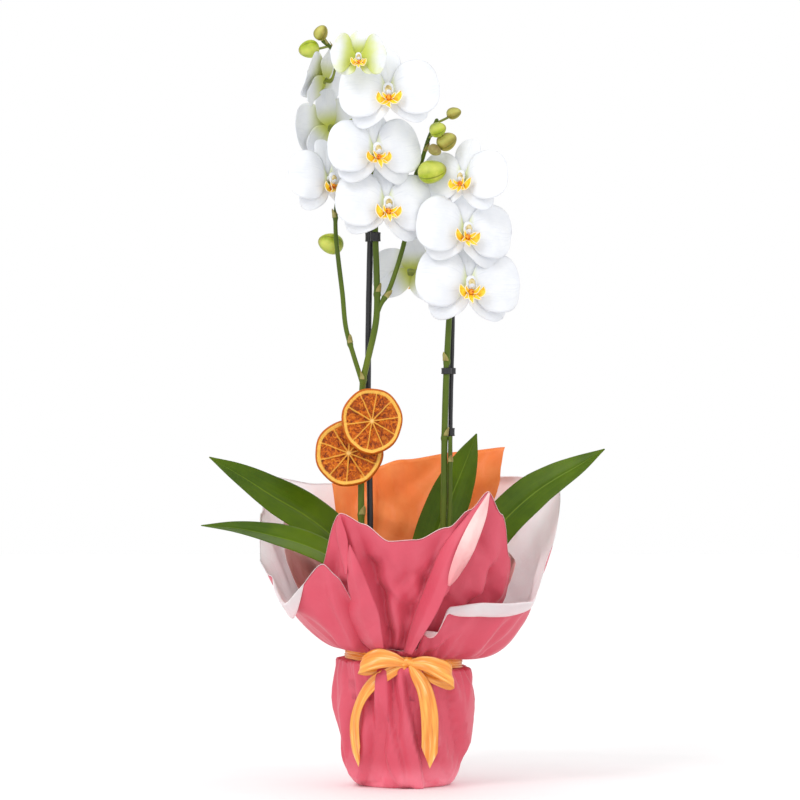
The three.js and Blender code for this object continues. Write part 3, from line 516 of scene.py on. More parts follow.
WHITE = rgba(235, 237, 240)
PAINTS = {
    # For the rose paper the two heights are turned round, so its deeper tone covers all of it above 3 cm as the paper's
    # own colour. On the other papers it is painted shade low inside the wrap.
    "rose": paper_paint("rose_paper", rgba(252, 148, 166), rgba(243, 116, 138), rgba(206, 72, 92), 0.03, 0.0),
    "pale_inside": paper_paint("pale_inside", rgba(255, 238, 240), rgba(255, 226, 230), rgba(232, 150, 150), 0.135,
        0.18, 0.7),
    "pale_lip": paper_paint("pale_lip", rgba(252, 214, 210), rgba(244, 178, 178), rgba(228, 132, 138), 0.2, 0.26),
    # Painted shade: a darker, redder copy of pale_inside for the inside of the inner sheet, reddened as if light came
    # through the rose side, with a deeper painted shade low down.
    "shaded_inside": paper_paint("shaded_inside", rgba(255, 214, 214), rgba(248, 190, 190), rgba(206, 98, 98), 0.19,
        0.27, 0.3),
    "orange": paper_paint("orange_paper", rgba(255, 148, 76), rgba(252, 130, 56), rgba(222, 96, 44), 0.17, 0.26),
    "satin": satin_paint(),
    "petal": petal_paint("petal_white", WHITE, rgba(214, 222, 150), 0.16),
    "petal_young": petal_paint("petal_young", rgba(222, 228, 166), rgba(186, 198, 70), 0.9),
    "petal_back": petal_paint("petal_back", WHITE, rgba(186, 194, 70), 0.62),
    "lip": lip_paint(),
    "callus": plain_paint("lip_callus", [(0.34, 170, 46, 12), (0.48, 236, 124, 14), (0.66, 252, 196, 44)], 500,
        0.35, (0.5, 0.0006)),
    "column": plain_paint("orchid_column", [(0.3, 158, 132, 66), (0.5, 204, 184, 122), (0.75, 236, 224, 186)], 260,
        0.35, (0.2, 0.0004)),
    "stem": plain_paint("stem_green", [(0.25, 50, 66, 8), (0.5, 80, 100, 14), (0.75, 104, 116, 24)], 40, 0.42,
        (0.25, 0.0008), (1, 1, 0.25), Specular_IOR_Level=0.3),
    "pedicel": plain_paint("pedicel_green", [(0.25, 92, 104, 26), (0.55, 132, 142, 48), (0.8, 172, 176, 92)], 90,
        0.42, (0.2, 0.0005)),
    "bract": plain_paint("bract_olive", [(0.25, 122, 96, 52), (0.55, 150, 142, 74), (0.8, 186, 176, 110)], 160,
        0.5, (0.3, 0.0006)),
    "bud": bud_paint("bud_lime", [(0.25, 112, 132, 10), (0.5, 158, 176, 28), (0.78, 204, 208, 84)]),
    "bud_tan": bud_paint("bud_olive", [(0.25, 98, 96, 14), (0.5, 142, 132, 44), (0.78, 186, 164, 92)]),
    "leaf": leaf_paint("leaf_green", rgba(88, 114, 0), rgba(54, 80, 0)),
    "plastic": plain_paint("black_plastic", [(0.3, 18, 18, 21), (0.7, 34, 34, 38)], 70, 0.34, (0.15, 0.0004)),
    "bark": plain_paint("bark_chips", [(0.2, 48, 30, 18), (0.5, 98, 66, 42), (0.8, 146, 108, 74)], 130, 0.85,
        (0.9, 0.0015), (1, 1, 0.5)),
    "root": plain_paint("aerial_root", [(0.25, 104, 122, 74), (0.5, 150, 160, 124), (0.8, 188, 192, 170)], 90, 0.6,
        (0.3, 0.0006)),
    "wire": plain_paint("florist_wire", [(0.3, 66, 48, 32), (0.7, 112, 84, 56)], 200, 0.45, (0.3, 0.0003)),
    "slice": slice_paint(),
}


# ---------- paper ----------
PAPER_THICKNESS = 0.4
PAPER_STEP = 2.0  # from one nested sheet to the next
BASE_RADIUS = 44
BODY_RADIUS = 66.5
NECK_RADIUS = 55.8
NECK_HEIGHT = 126.5
NECK_TILT = 5
NECK_HALF_BAND = 4.5
FLARE_STAGGER = 3
BODY_ROWS, FLARE_ROWS = 46, 52
CREASE_FADE = 12  # over which a crease dies out past its ends
UNROLL_RADIUS = 90  # turns angles round the wrap into lengths for the creases
PUSH_LIMIT = 14  # how far creases may move the flared paper
BODY_DENT, BODY_BULGE = 3.4, 7  # and how far in and out the paper round the pot
COLUMNS = 288
# Random creases: how many, half length, half width and depth in mm, and lean in radians.
CRUMPLES = dict(number=150, reach=34, width=11, depth=2.3, lean=0.1)
FANNED_FOLDS = dict(number=46, reach=90, width=9, depth=4.4, lean=0.0)
ORANGE_CRUMPLES = dict(number=60, reach=45, width=12, depth=2.0, lean=0.1)
ORANGE_FOLDS = dict(number=16, reach=90, width=13, depth=4.0, lean=0.0)

OUTER_RIM = [
    [12, 160, 294, 2.6], [40, 152, 305, 1.8], [90, 138, 298, 1.5], [130, 140, 298, 1.5], [150, 157, 306, 1.6],
    [168, 146, 270, 1.7], [182, 143, 225, 1.7], [200, 140, 211, 1.6], [213, 138, 184, 1.5], [232, 126, 225, 1.3],
    [236.5, 118, 212, 1.3], [243, 76, 154, 1.2], [253, 62, 139, 1.2], [268, 60, 137, 1.2], [282, 62, 138, 1.2],
    [286, 78, 157, 1.3], [293.5, 84, 156, 1.3], [297, 98, 181, 1.5], [312, 112, 184, 1.6], [336, 139, 184, 2],
    [350, 150, 240, 2.6],
]
# The inner sheet stands high at the back left, from 135 to 182 degrees, where its painted-shade inside shows within the
# outer sheet.
INNER_RIM = [
    [0, 112, 222, 1.3], [45, 120, 236, 1.25], [90, 116, 246, 1.25], [135, 126, 258, 1.25], [163, 124, 262, 1.25],
    [182, 118, 228, 1.2], [198, 108, 196, 1.2], [222, 112, 216, 1.2], [240, 121, 274, 1.2], [250, 116, 263, 1.2],
    [263, 112, 247, 1.2], [276, 112, 248, 1.2], [292, 114, 260, 1.2], [304, 115, 277, 1.2], [313, 120, 295, 1.2],
    [322, 122, 272, 1.2], [332, 118, 230, 1.2], [342, 108, 202, 1.2],
]
ORANGE_RIM = [
    [38, 133, 336, 1.25], [60, 118, 331, 1.25], [90, 108, 323, 1.25], [112, 106, 313, 1.25], [131, 112, 299, 1.25],
]
# Turned-over edges: from and to in degrees, and how far the edge hangs down outside.
OUTER_HEMS = [(294, 340, 12), (285, 293, 6), (203, 222, 16), (150, 176, 4), (20, 70, 6)]
# Creases seen from the front, top end first: x, z, x, z, reach to the left, reach to the right, and how far out.
OUTER_CREASES = [
    (46, 156, 12, 128, 6, 10, 6), (62, 176, 30, 130, 10, 6, -5), (100, 180, 62, 128, 20, 14, 7),
    (84, 176, 50, 128, 12, 8, -5), (128, 190, 80, 134, 12, 12, -6), (-78, 224, -40, 134, 18, 5, 9),
    (-66, 212, -34, 134, 5, 12, -8), (-112, 178, -58, 134, 12, 9, -6), (-94, 196, -52, 136, 10, 12, 6),
    (-17, 112, -14, 74, 9, 3, 4), (-14, 74, -4, 17, 10, 4, 4), (-10, 108, -8, 70, 4, 8, -3.4),
    (-3, 110, 17, 4, 12, 4, 4.4), (4, 104, 24, 8, 4, 14, -3.4), (-14, 78, -36, 6, 5, 16, -4),
    (-20, 112, -42, 20, 12, 5, 4), (37, 112, 44, 80, 6, 6, -3), (41, 92, 54, 39, 12, 4, -4.2),
    (46, 98, 60, 40, 4, 12, 3.4), (-64, 110, -46, 100, 6, 6, 3), (-60, 96, -42, 106, 5, 5, -3),
    (-58, 84, -44, 14, 12, 8, 3), (-34, 114, -30, 50, 8, 8, -3), (22, 114, 32, 50, 8, 5, 3),
    (62, 104, 60, 30, 8, 8, 3), (-52, 112, -48, 40, 5, 9, -3.4), (8, 60, 40, 12, 7, 7, -3),
    (-30, 60, 0, 10, 8, 8, 2.6),
]
INNER_CREASES = [
    (-54, 264, -41, 219, 26, 3, 9), (-41, 219, -29, 190, 24, 3, 10), (-29, 190, -20, 154, 20, 3, 9),
    (-20, 154, -16, 132, 14, 4, 6), (-46, 256, -35, 219, 4, 17, -10), (-35, 219, -24, 188, 4, 17, -11),
    (-24, 188, -15, 152, 4, 12, -9), (-15, 152, -13, 132, 4, 9, -5), (-10, 248, -13, 194, 12, 16, 5),
    (-13, 194, -6, 132, 9, 9, 6), (-13, 194, -30, 182, 4, 6, -3), (-13, 194, 2, 178, 6, 4, -3.5),
    (0, 180, 0, 134, 5, 7, -5), (14, 246, 8, 200, 12, 12, -3), (37, 248, 24, 205, 16, 5, -10),
    (24, 205, 10, 174, 14, 5, -10), (10, 174, -1, 136, 9, 4, -8), (47, 250, 33, 200, 4, 15, 9),
    (33, 200, 18, 168, 4, 14, 10), (18, 168, 4, 134, 4, 11, 8), (82, 292, 60, 240, 24, 4, 7),
    (60, 240, 42, 205, 20, 4, 8), (50, 222, 38, 190, 5, 14, -8), (38, 190, 14, 138, 5, 12, -8),
    (100, 258, 66, 200, 16, 12, 7), (66, 200, 30, 145, 12, 8, 6), (92, 222, 50, 160, 6, 12, -7),
    (-63, 272, -58, 214, 10, 8, 5), (-60, 190, -34, 140, 10, 6, 5),
]
FOLD_SEARCH = 5.0  # how near a point of the sheet has to be to hold a fold off
# Left edge, right edge, how far each stands out, how much it bulges between, and its material indices.
FRONT_FOLDS = [
    ([(-53, 243), (-55, 232), (-55, 212), (-54, 186), (-58, 172), (-45, 150), (-28, 134)],
     [(-52, 243), (-40, 218), (-30, 192), (-24, 175), (-22, 160), (-20, 146), (-19, 134)], (3.0, 10.0), 4.0, (1, 0, 0)),
    ([(83, 294), (61, 270), (37, 240), (22, 205), (10, 172), (0, 136)],
     [(84, 293), (66, 252), (46, 208), (33, 178), (17, 150), (8, 134)], (0.6, 10.5), 2.0, (1, 0, 0)),
    ([(83, 294), (66, 268), (52, 240), (44, 215), (43, 204)],
     [(84, 293), (80, 268), (68, 236), (54, 212), (45, 203)], (11.0, 12.5), 2.5, (0, 2, 2)),
    ([(-63, 272), (-66, 258), (-62, 236), (-57, 215)],
     [(-62, 272), (-55, 250), (-54, 232), (-55, 214)], (1.5, 4.5), 1.5, (1, 0, 0)),
]


def neck_height(angle):
    return NECK_HEIGHT - NECK_TILT * np.cos(angle)


def rim_at(rim, degrees):
    """Radius, height and bowl of a rim at each angle, eased between its corners."""
    table = np.array(rim + [[rim[0][0] + 360] + rim[0][1:]], float)
    turned = (degrees - table[0, 0]) % 360 + table[0, 0]
    k = np.clip(np.searchsorted(table[:, 0], turned, side="right") - 1, 0, len(table) - 2)
    share = (turned - table[k, 0]) / (table[k + 1, 0] - table[k, 0])
    eased = (share * share * (3 - 2 * share))[:, None]
    return (table[k, 1:] * (1 - eased) + table[k + 1, 1:] * eased).T


def body_rows(angle, layer, count):
    """The wrapped pot's outline from near the axis up to the top of the neck, for every column."""
    neck = neck_height(angle)
    one = np.ones_like(angle)
    inset = layer * PAPER_STEP
    keys = [
        (2 * one, 0 * one), (BASE_RADIUS * 0.6 * one, 0 * one), ((BASE_RADIUS - 2) * one, 0 * one),
        ((BASE_RADIUS + 2.5) * one, 1.3 * one), ((BASE_RADIUS + 7) * one, 6 * one),
        ((BASE_RADIUS + 12) * one, 17 * one), ((BODY_RADIUS - 5.5) * one, 40 * one), (BODY_RADIUS * one, 84 * one),
        (BODY_RADIUS * one, neck - 11), ((NECK_RADIUS + 8.5) * one, neck - 6),
        ((NECK_RADIUS + 0.6) * one, neck - NECK_HALF_BAND),
        (NECK_RADIUS * one, neck + NECK_HALF_BAND + layer * FLARE_STAGGER),
    ]
    keys = np.array(keys)
    keys[3:, 0] -= inset
    keys[:4, 1] += inset
    run = np.linspace(0, len(keys) - 1, count)
    low = np.minimum(run.astype(int), len(keys) - 2)
    share = (run - low)[:, None, None]
    before, after = keys[np.maximum(low - 1, 0)], keys[np.minimum(low + 2, len(keys) - 1)]
    a, b = keys[low], keys[low + 1]
    curve = 0.5 * (2 * a + (b - before) * share + (2 * before - 5 * a + 4 * b - after) * share ** 2
                   + (3 * a - before - 3 * b + after) * share ** 3)
    return curve[:, 0], curve[:, 1]


def flare_rows(radius, height, rim, degrees, count):
    """Rows from the top of the neck out to the rim."""
    rim_radius, rim_height, bowl = rim_at(rim, degrees)
    share = np.linspace(0, 1, count + 1)[1:, None]
    return radius + (rim_radius - radius) * share ** 0.85, height + (rim_height - height) * share ** bowl


def hem_rows(radius, height, degrees, hems):
    """Rows that turn the edge over and down outside the sheet, where there is a hem."""
    hang = np.full_like(degrees, 0.4)
    for first, last, drop in hems:
        middle, half = (first + last) / 2, (last - first) / 2
        inside = np.clip(1 - ((degrees - middle + 180) % 360 - 180) ** 2 / half ** 2, 0, 1)
        hang = np.maximum(hang, drop * inside ** 0.6)
    run = np.stack([radius[-1] - radius[-4], height[-1] - height[-4]])
    run = run / np.linalg.norm(run, axis=0)
    out = np.stack([run[1], -run[0]])
    bend = np.minimum(hang * 0.16, 1.7)
    rows = []
    for turn in np.linspace(0, math.pi, 6)[1:]:
        rows.append(bend * math.sin(turn) * run + bend * (1 - math.cos(turn)) * out)
    for share in (0.25, 0.5, 0.75, 1.0):
        rows.append(2 * bend * out + share * hang * (-run + 0.12 * out))
    rows = np.array(rows)
    return np.vstack([radius, radius[-1] + rows[:, 0]]), np.vstack([height, height[-1] + rows[:, 1]])


def tents(x, y, rng, spans, number, reach, width, depth, lean):
    """Random straight creases: each has flat sides, so their sum looks like creased paper."""
    total = np.zeros_like(x)
    (x0, x1), (y0, y1) = spans
    for _ in range(number):
        cx, cy = rng.uniform(x0, x1), rng.uniform(y0, y1)
        turn = rng.normal(lean, 0.5)
        across = (x - cx) * math.cos(turn) - (y - cy) * math.sin(turn)
        along = (x - cx) * math.sin(turn) + (y - cy) * math.cos(turn)
        size = rng.uniform(0.5, 1.2)
        tent = np.clip(1 - np.abs(across) / (width * size), 0, 1) * np.clip(1 - (along / (reach * size)) ** 2, 0, 1)
        total += tent * depth * size * rng.choice([-1, 1])
    return total


def front_creases(x, y, z, creases):
    """Straight folds placed as seen from the front, only on the front half."""
    total = np.zeros_like(x)
    for x0, z0, x1, z1, left, right, depth in creases:
        run = math.hypot(x1 - x0, z1 - z0)
        ux, uz = (x1 - x0) / run, (z1 - z0) / run
        along = (x - x0) * ux + (z - z0) * uz
        across = (x - x0) * uz - (z - z0) * ux
        beyond = np.maximum(np.maximum(-along, along - run), 0)
        reach = np.where(across > 0, left, right)
        tent = np.clip(1 - np.abs(across) / reach, 0, 1) * np.clip(1 - beyond / CREASE_FADE, 0, 1)
        total += depth * tent
    return total * smooth(-y, 0, 30)


def softened(push):
    """Rounds the sharpest lines of a height field by about one cell."""
    push = 0.25 * np.roll(push, 1, 1) + 0.5 * push + 0.25 * np.roll(push, -1, 1)
    padded = np.vstack([push[:1], push, push[-1:]])
    return 0.25 * padded[:-2] + 0.5 * padded[1:-1] + 0.25 * padded[2:]


def gathers(angle, rng):
    """Fine pleats of paper gathered by the ribbon, from about -1.7 to 1."""
    total = np.zeros_like(angle)
    for folds in (9, 14, 23, 37):
        total += np.abs(np.sin(folds / 2 * angle + rng.uniform(0, 6))) * 2 - 1.27
    return total / 3


def depth_behind(front, x, z):
    """How far forward the sheet comes around a place seen from the front."""
    gaps = (front[:, 0] - x) ** 2 + (front[:, 2] - z) ** 2
    near = gaps < FOLD_SEARCH ** 2
    return front[near, 1].min() if near.any() else front[np.argmin(gaps), 1]


def standing_fold(shape, grid, left, right, lifts, bulge, slots):
    """A fold of the sheet standing in front of it, between two edges given as seen from the front (x, z)."""
    rows, cols = 44, 15
    edges = [smooth_path([[x, 0, z] for x, z in edge], rows) for edge in (left, right)]
    v = np.linspace(0, 1, cols)[None, :, None]
    fold = edges[0][:, None] * (1 - v) + edges[1][:, None] * v
    points = grid.reshape(-1, 3)
    front = points[(points[:, 1] < -20) & (points[:, 2] > NECK_HEIGHT)]
    some = np.array([[depth_behind(front, *fold[i, j, [0, 2]]) for j in (0, cols // 2, cols - 1)] for i in range(rows)])
    padded = np.vstack([some[:1]] * 4 + [some] + [some[-1:]] * 4)
    eased = sum(padded[k:k + rows] for k in range(9)) / 9
    depth = np.array([np.interp(np.linspace(0, 2, cols), [0, 1, 2], row) for row in eased])
    across = v[..., 0]
    lift = lifts[0] * (1 - across) + lifts[1] * across + bulge * np.sin(math.pi * across)
    lift = lift * (0.15 + 0.85 * smooth(fold[..., 2], NECK_HEIGHT + 6, NECK_HEIGHT + 40))
    fold[..., 1] = depth - lift
    thin_sheet(shape, fold, PAPER_THICKNESS, slots)


def wrapped_sheet(name, rim, layer, hems, creases, seed):
    """One rose sheet from under the pot to its rim: layer 0 outside and 1 inside."""
    rng = np.random.default_rng(seed)
    degrees = np.linspace(0, 360, COLUMNS, endpoint=False)
    angle = np.radians(degrees)
    radius, height = body_rows(angle, layer, BODY_ROWS)
    flare = flare_rows(radius[-1], height[-1], rim, degrees, FLARE_ROWS)
    radius, height = np.vstack([radius, flare[0]]), np.vstack([height, flare[1]])
    inner_rows = len(radius)
    radius, height = hem_rows(radius, height, degrees, hems)
    rows = len(radius)
    angles = np.broadcast_to(angle, radius.shape)
    x, y = radius * np.cos(angles), radius * np.sin(angles)
    above = height - neck_height(angles)
    run = angles * UNROLL_RADIUS
    girth, rise = 2 * math.pi * UNROLL_RADIUS, (height.min(), height.max())
    crumple = sum(
        tents(run + shift, height, np.random.default_rng(seed + 7), ((0, girth), rise), **CRUMPLES)
        for shift in (-girth, 0, girth)
    )
    fan = tents(run, above, rng, ((0, girth), (30, 130)), **FANNED_FOLDS)
    gathered = gathers(angles, rng)
    upper = smooth(above, 3 + layer * 2, 70)
    near_neck = np.exp(-np.abs(above) / np.where(above < 0, 30, 20)) * smooth(np.abs(above), 2, 9)
    push = (
        crumple * (1.1 * smooth(height, 6, 30) * smooth(-above, 4, 22) + (0.5 if layer else 0.9) * upper)
        + fan * upper * smooth(above, 15, 80)
        + gathered * (3.6 * near_neck + 0.6)
        + front_creases(x, y, height, creases)
        * np.where(above < 0, 1.7 * smooth(-above, 5, 16), smooth(above, 4, 20))
    ) * smooth(radius, BASE_RADIUS - 2, BASE_RADIUS + 8)
    push = softened(push) * (1 - 0.8 * smooth(np.arange(rows)[:, None], inner_rows - 18, inner_rows - 1))
    push[inner_rows:] = push[inner_rows - 1]
    slope_r = np.gradient(radius[:inner_rows], axis=0)
    slope_z = np.gradient(height[:inner_rows], axis=0)
    size = np.hypot(slope_r, slope_z)
    out_r = np.vstack([slope_z / size, np.repeat((slope_z / size)[-1:], rows - inner_rows, 0)])
    out_z = np.vstack([-slope_r / size, np.repeat((-slope_r / size)[-1:], rows - inner_rows, 0)])
    limit = np.clip(push, -PUSH_LIMIT, PUSH_LIMIT)
    if layer == 0:
        limit = np.where(above < 0, np.clip(1.5 * limit, -BODY_DENT, BODY_BULGE), limit)
    else:
        limit = np.where(above < 0, -1.4 * smooth(-above, 8, 20), limit)
    radius = radius + out_r * limit
    height = np.maximum(height + out_z * limit, layer * PAPER_STEP + PAPER_THICKNESS / 2)
    grid = about_axis(radius, angles, height)
    shape = Shape()
    outwards = about_axis(out_r, angles, out_z)
    outwards[inner_rows:] = surface_normals(grid, True)[inner_rows:]
    thin_sheet(shape, grid, PAPER_THICKNESS, (0, 1, 0), around=True, normal=outwards)
    if layer:
        for fold in FRONT_FOLDS:
            standing_fold(shape, grid, *fold)
    # The inner sheet's inside takes the painted-shade copy of the pale inside.
    inside = "shaded_inside" if layer else "pale_inside"
    piece = make_piece(name, shape, ["rose", inside, "pale_lip"])


def orange_sheet():
    rng = np.random.default_rng(31)
    degrees = np.linspace(ORANGE_RIM[0][0], ORANGE_RIM[-1][0] - 0.01, 90)
    angle = np.radians(degrees)
    neck = neck_height(angle)
    foot = NECK_RADIUS - 2 * PAPER_STEP
    start = neck + NECK_HALF_BAND + 2 * FLARE_STAGGER
    flare = flare_rows(foot * np.ones_like(angle), start, ORANGE_RIM, degrees, 60)
    low = np.linspace(neck - NECK_HALF_BAND / 2, start, 5)
    radius = np.vstack([np.full_like(low, foot), flare[0]])
    height = np.vstack([low, flare[1]])
    above = height - neck
    angles = np.broadcast_to(angle, radius.shape)
    run = (angles - angle[0]) * UNROLL_RADIUS
    push = tents(run, height, rng, ((0, 150), (140, 340)), **ORANGE_CRUMPLES)
    push = push + tents(run, height, rng, ((0, 150), (200, 330)), **ORANGE_FOLDS)
    radius = radius + push * smooth(above, 10, 70)
    grid = about_axis(radius, angles, height)
    shape = Shape()
    thin_sheet(shape, grid, PAPER_THICKNESS)
    piece = make_piece("paper_orange", shape, ["orange"])


# ---------- stems, canes, clips ----------
SPIKE_RADIUS, SPIKE_TIP_RADIUS, BRANCH_RADIUS, STUB_RADIUS = 3.2, 2.0, 2.4, 2.1
LEFT_STAKE_RADIUS, RIGHT_STAKE_RADIUS = 3.1, 2.3
CLIP_WALL, CLIP_CLEARANCE = 1.5, 0.45
CANE_FOOT = 12.5
LEFT_STAKE = smooth_path([
    [-31, 5, CANE_FOOT], [-33, 5, 150], [-33.5, 5, 278], [-35.5, 5, 380], [-35, 5, 460], [-33, 4, 560],
    [-31, 1, 668],
], 90)
RIGHT_STAKE = smooth_path([
    [36, 5, CANE_FOOT], [41, 5, 110], [45.5, 4.5, 200], [46.5, 4.5, 300], [47.3, 4.5, 380], [49, 4.5, 450],
    [49.5, 4.5, 488],
], 90)
LEFT_SPIKE = smooth_path([
    [-14.6, 0, 121], [-27, -3, 142], [-38, -3, 185], [-42, -3, 256], [-42, -3, 330], [-40.5, -3.5, 402],
    [-36.5, -4, 421], [-28.5, -4, 456], [-26.5, -4, 474], [-28, -4, 546], [-30, -7, 610], [-32, -12, 660],
    [-44, -18, 705], [-66, -21, 729], [-80, -23, 741],
], 240)
LEFT_BRANCH = smooth_path([
    [-41, -3.5, 400], [-44, -4, 410], [-50, -4, 429], [-57.5, -4, 456], [-61, -4, 490], [-65, -4, 523],
    [-67.7, -3, 550], [-67.5, -2, 575], [-64, -1, 592],
], 120)
RIGHT_BRANCH = smooth_path([
    [-26.5, -4, 470], [-23, -4, 479], [-15.5, -3, 492], [-8, -1, 512], [1.3, 1, 544], [7, 2, 575],
    [11.5, -3, 606], [18, -12, 622], [25, -20, 644], [33, -24, 662],
], 120)
RIGHT_SPIKE = smooth_path([
    [14.6, 0, 121], [27, -3, 142], [36, -3, 185], [40, -3, 266], [41, -3, 349], [42.5, -3, 402],
    [45, -3, 456], [47, -2, 485], [51, 1, 520], [55, 5, 560], [57, 9, 600], [59, 10, 628],
], 200)
CUT_STUB = smooth_path([[12.4, -6.8, 120], [30, -11, 145], [42, -9, 190], [46.2, -5, 262], [46.6, -4, 346]], 60)


def stem_radii(path, start, end, nodes=()):
    """Radius along a stem, with a swelling at each node height."""
    share = np.linspace(0, 1, len(path))
    radii = start + (end - start) * smooth(share, 0.55, 1)
    for height in nodes:
        radii = radii + 0.75 * np.exp(-((path[:, 2] - height) / 2.2) ** 2)
    return radii


def bract(shape, path, radii, height, length, away, slot):
    """A short pointed sheath that hugs the stem above a node."""
    k = index_at_height(path, height)
    tangent = unit(path[min(k + 1, len(path) - 1)] - path[max(k - 1, 0)])
    out = np.array(away, float)
    out = unit(out - tangent * out.dot(tangent))
    side = np.cross(tangent, out)
    t = np.linspace(0, 1, 12)[:, None]
    v = np.linspace(-1, 1, 9)[None, :]
    spread = 1.25 * (1 - t ** 1.6) + 0.02
    turn = v * spread
    reach = radii[k] + 0.35 + 0.12 * length * t ** 2
    grid = (path[k] + tangent * (t[..., None] * length)
            + (reach * np.cos(turn))[..., None] * out + (reach * np.sin(turn))[..., None] * side)
    thin_sheet(shape, grid, 0.35, (slot,) * 3)


def add_stems():
    left = Shape()
    for path, start, nodes in ((LEFT_SPIKE, SPIKE_RADIUS, (269, 404, 490, 560, 655)),
                               (LEFT_BRANCH, BRANCH_RADIUS, (440, 566)),
                               (RIGHT_BRANCH, BRANCH_RADIUS, (486, 572))):
        radii = stem_radii(path, start, SPIKE_TIP_RADIUS, nodes)
        tube(left, path, radii, 14)
        for turn, height in enumerate(nodes):
            bract(left, path, radii, height, 9, (math.cos(2.4 * turn + 1), -0.7, 0), 1)
    for height, length, away in ((729, 11, (-0.2, -0.3, 1)), (737, 8, (0.3, -0.4, 1))):
        bract(left, LEFT_SPIKE, stem_radii(LEFT_SPIKE, SPIKE_RADIUS, 2), height, length, away, 1)
    bract(left, LEFT_BRANCH, stem_radii(LEFT_BRANCH, BRANCH_RADIUS, 2), 568, 9, (1, -0.4, 0), 1)
    bract(left, RIGHT_BRANCH, stem_radii(RIGHT_BRANCH, BRANCH_RADIUS, 2), 632, 10, (0.6, -0.8, 0), 1)
    make_piece("flower_spike_left", left, ["stem", "bract"])
    right = Shape()
    nodes = (346, 422, 470, 540)
    radii = stem_radii(RIGHT_SPIKE, SPIKE_RADIUS, SPIKE_TIP_RADIUS, nodes)
    tube(right, RIGHT_SPIKE, radii, 14)
    for turn, height in enumerate(nodes):
        bract(right, RIGHT_SPIKE, radii, height, 9, (math.cos(2.4 * turn), -0.7, 0), 1)
    make_piece("flower_spike_right", right, ["stem", "bract"])
    stub = Shape()
    radii = STUB_RADIUS + 0.6 * np.exp(-((CUT_STUB[:, 2] - 321) / 2.5) ** 2)
    tube(stub, CUT_STUB, radii, 12)
    bract(stub, CUT_STUB, radii, 321, 7, (0.2, -1, 0), 1)
    make_piece("cut_spike_stub", stub, ["stem", "bract"])


def clip(name, height, tall, holders, knob):
    """A plastic clip: a waisted collar around stem and cane with a pinch tab."""
    shape = Shape()
    for path, radius in holders:
        centre = path[index_at_height(path, height)]
        turn = turns(28)
        levels = np.linspace(-1, 1, 9)
        flare = radius + CLIP_CLEARANCE + CLIP_WALL / 2 + 0.35 * np.abs(levels) ** 4
        grid = np.stack([
            centre[0] + flare[:, None] * np.cos(turn), centre[1] + flare[:, None] * np.sin(turn),
            height + levels[:, None] * tall / 2 * np.ones_like(turn),
        ], axis=-1)
        thin_sheet(shape, grid, CLIP_WALL, around=True)
    tube(shape, np.array([knob, [knob[0], knob[1] - 0.5, knob[2] + 3]]), 1.3, 10)
    make_piece(name, shape, ["plastic"])


def add_supports():
    for name, path, radius in (("stake_left", LEFT_STAKE, LEFT_STAKE_RADIUS),
                               ("stake_right", RIGHT_STAKE, RIGHT_STAKE_RADIUS)):
        shape = Shape()
        tube(shape, path, radius - 0.05 + 0.05 * np.sin(np.arange(len(path)) * 1.3), 16)
        make_piece(name, shape, ["plastic"])
    clip("clip_left", 547, 9, [(LEFT_SPIKE, SPIKE_RADIUS), (LEFT_STAKE, LEFT_STAKE_RADIUS)], [-31, -3.5, 551.5])
    clip("clip_right", 413, 6, [(RIGHT_SPIKE, SPIKE_RADIUS), (RIGHT_STAKE, RIGHT_STAKE_RADIUS)], [45.5, -4, 415])
    clip("clip_low", 352, 8, [(RIGHT_STAKE, RIGHT_STAKE_RADIUS)], [47, 1.5, 355])


# ---------- leaves ----------
LEAVES = [
    ("leaf_left_upper", [[-10.9, 8.2, 120], [-25, 20, 158], [-44, 27, 203], [-68, 22, 243], [-98, 14, 268],
                         [-130, 6, 287], [-158, 0, 305], [-194, -6, 327]],
     (0.3, -0.85, 0.62), [4.5, 9, 14, 20, 23, 24, 23, 19, 12, 0.6]),
    ("leaf_left_lower", [[-10.1, -9.7, 120], [-22, -24, 154], [-40, -33, 190], [-66, -40, 224], [-96, -46, 240],
                         [-130, -50, 250], [-165, -51, 257], [-200, -50, 260]],
     (0.2, -0.55, 0.85), [4.5, 9, 13, 17, 19, 20, 19, 15, 9, 0.6]),
    ("leaf_back", [[2.2, 13.4, 120], [10, 27, 162], [22, 34, 205], [34, 37, 250], [50, 40, 290], [64, 43, 324],
                   [74, 46, 350]],
     (-0.2, -1, 0.25), [4.5, 8, 12, 17, 21, 22.5, 22, 19, 12, 0.6]),
    ("leaf_right", [[11.6, 7, 120], [29, 17, 153], [52, 22, 192], [78, 17, 232], [102, 10, 264], [130, 4, 290],
                    [152, 0, 305], [176, -2, 319], [201, -4, 335]],
     (-0.3, -1.0, 0.55), [4.5, 9, 13, 18, 21, 22, 21, 17, 11, 0.6]),
]


def blade_grid(spine, faces, half_width, fold, across):
    """Middle surface of a leaf along a spine, folded up towards its edges."""
    tangent = unit(np.gradient(spine, axis=0))
    side = unit(np.cross(np.array(faces, float), tangent))
    normal = np.cross(tangent, side)
    u = np.linspace(0, 1, len(spine))[:, None]
    v = np.linspace(-1, 1, across)[None, :]
    w = half_width[:, None]
    lift = fold * u * w * np.abs(v) ** 1.5 - 0.06 * w * np.exp(-(v / 0.1) ** 2)
    return spine[:, None] + (v * w)[..., None] * side[:, None] + lift[..., None] * normal[:, None]


def add_leaves():
    rows, cols = 72, 23
    for k, (name, points, faces, widths) in enumerate(LEAVES):
        spine = smooth_path(points, rows)
        half = width_curve(widths, np.linspace(0, 1, rows))
        grid = blade_grid(spine, faces, half, 0.25, cols)
        ripple = np.sin(np.linspace(0, 7 + k, rows))[:, None] * np.linspace(-1, 1, cols)[None, :] ** 3
        grid[..., 2] += 0.05 * half[:, None] * ripple
        edge = 1 - np.linspace(-1, 1, cols)[None, :] ** 2
        shape = Shape()
        thin_sheet(shape, grid, 0.4 + 1.6 * edge * smooth(half, 0, 14)[:, None])
        make_piece(name, shape, ["leaf"])


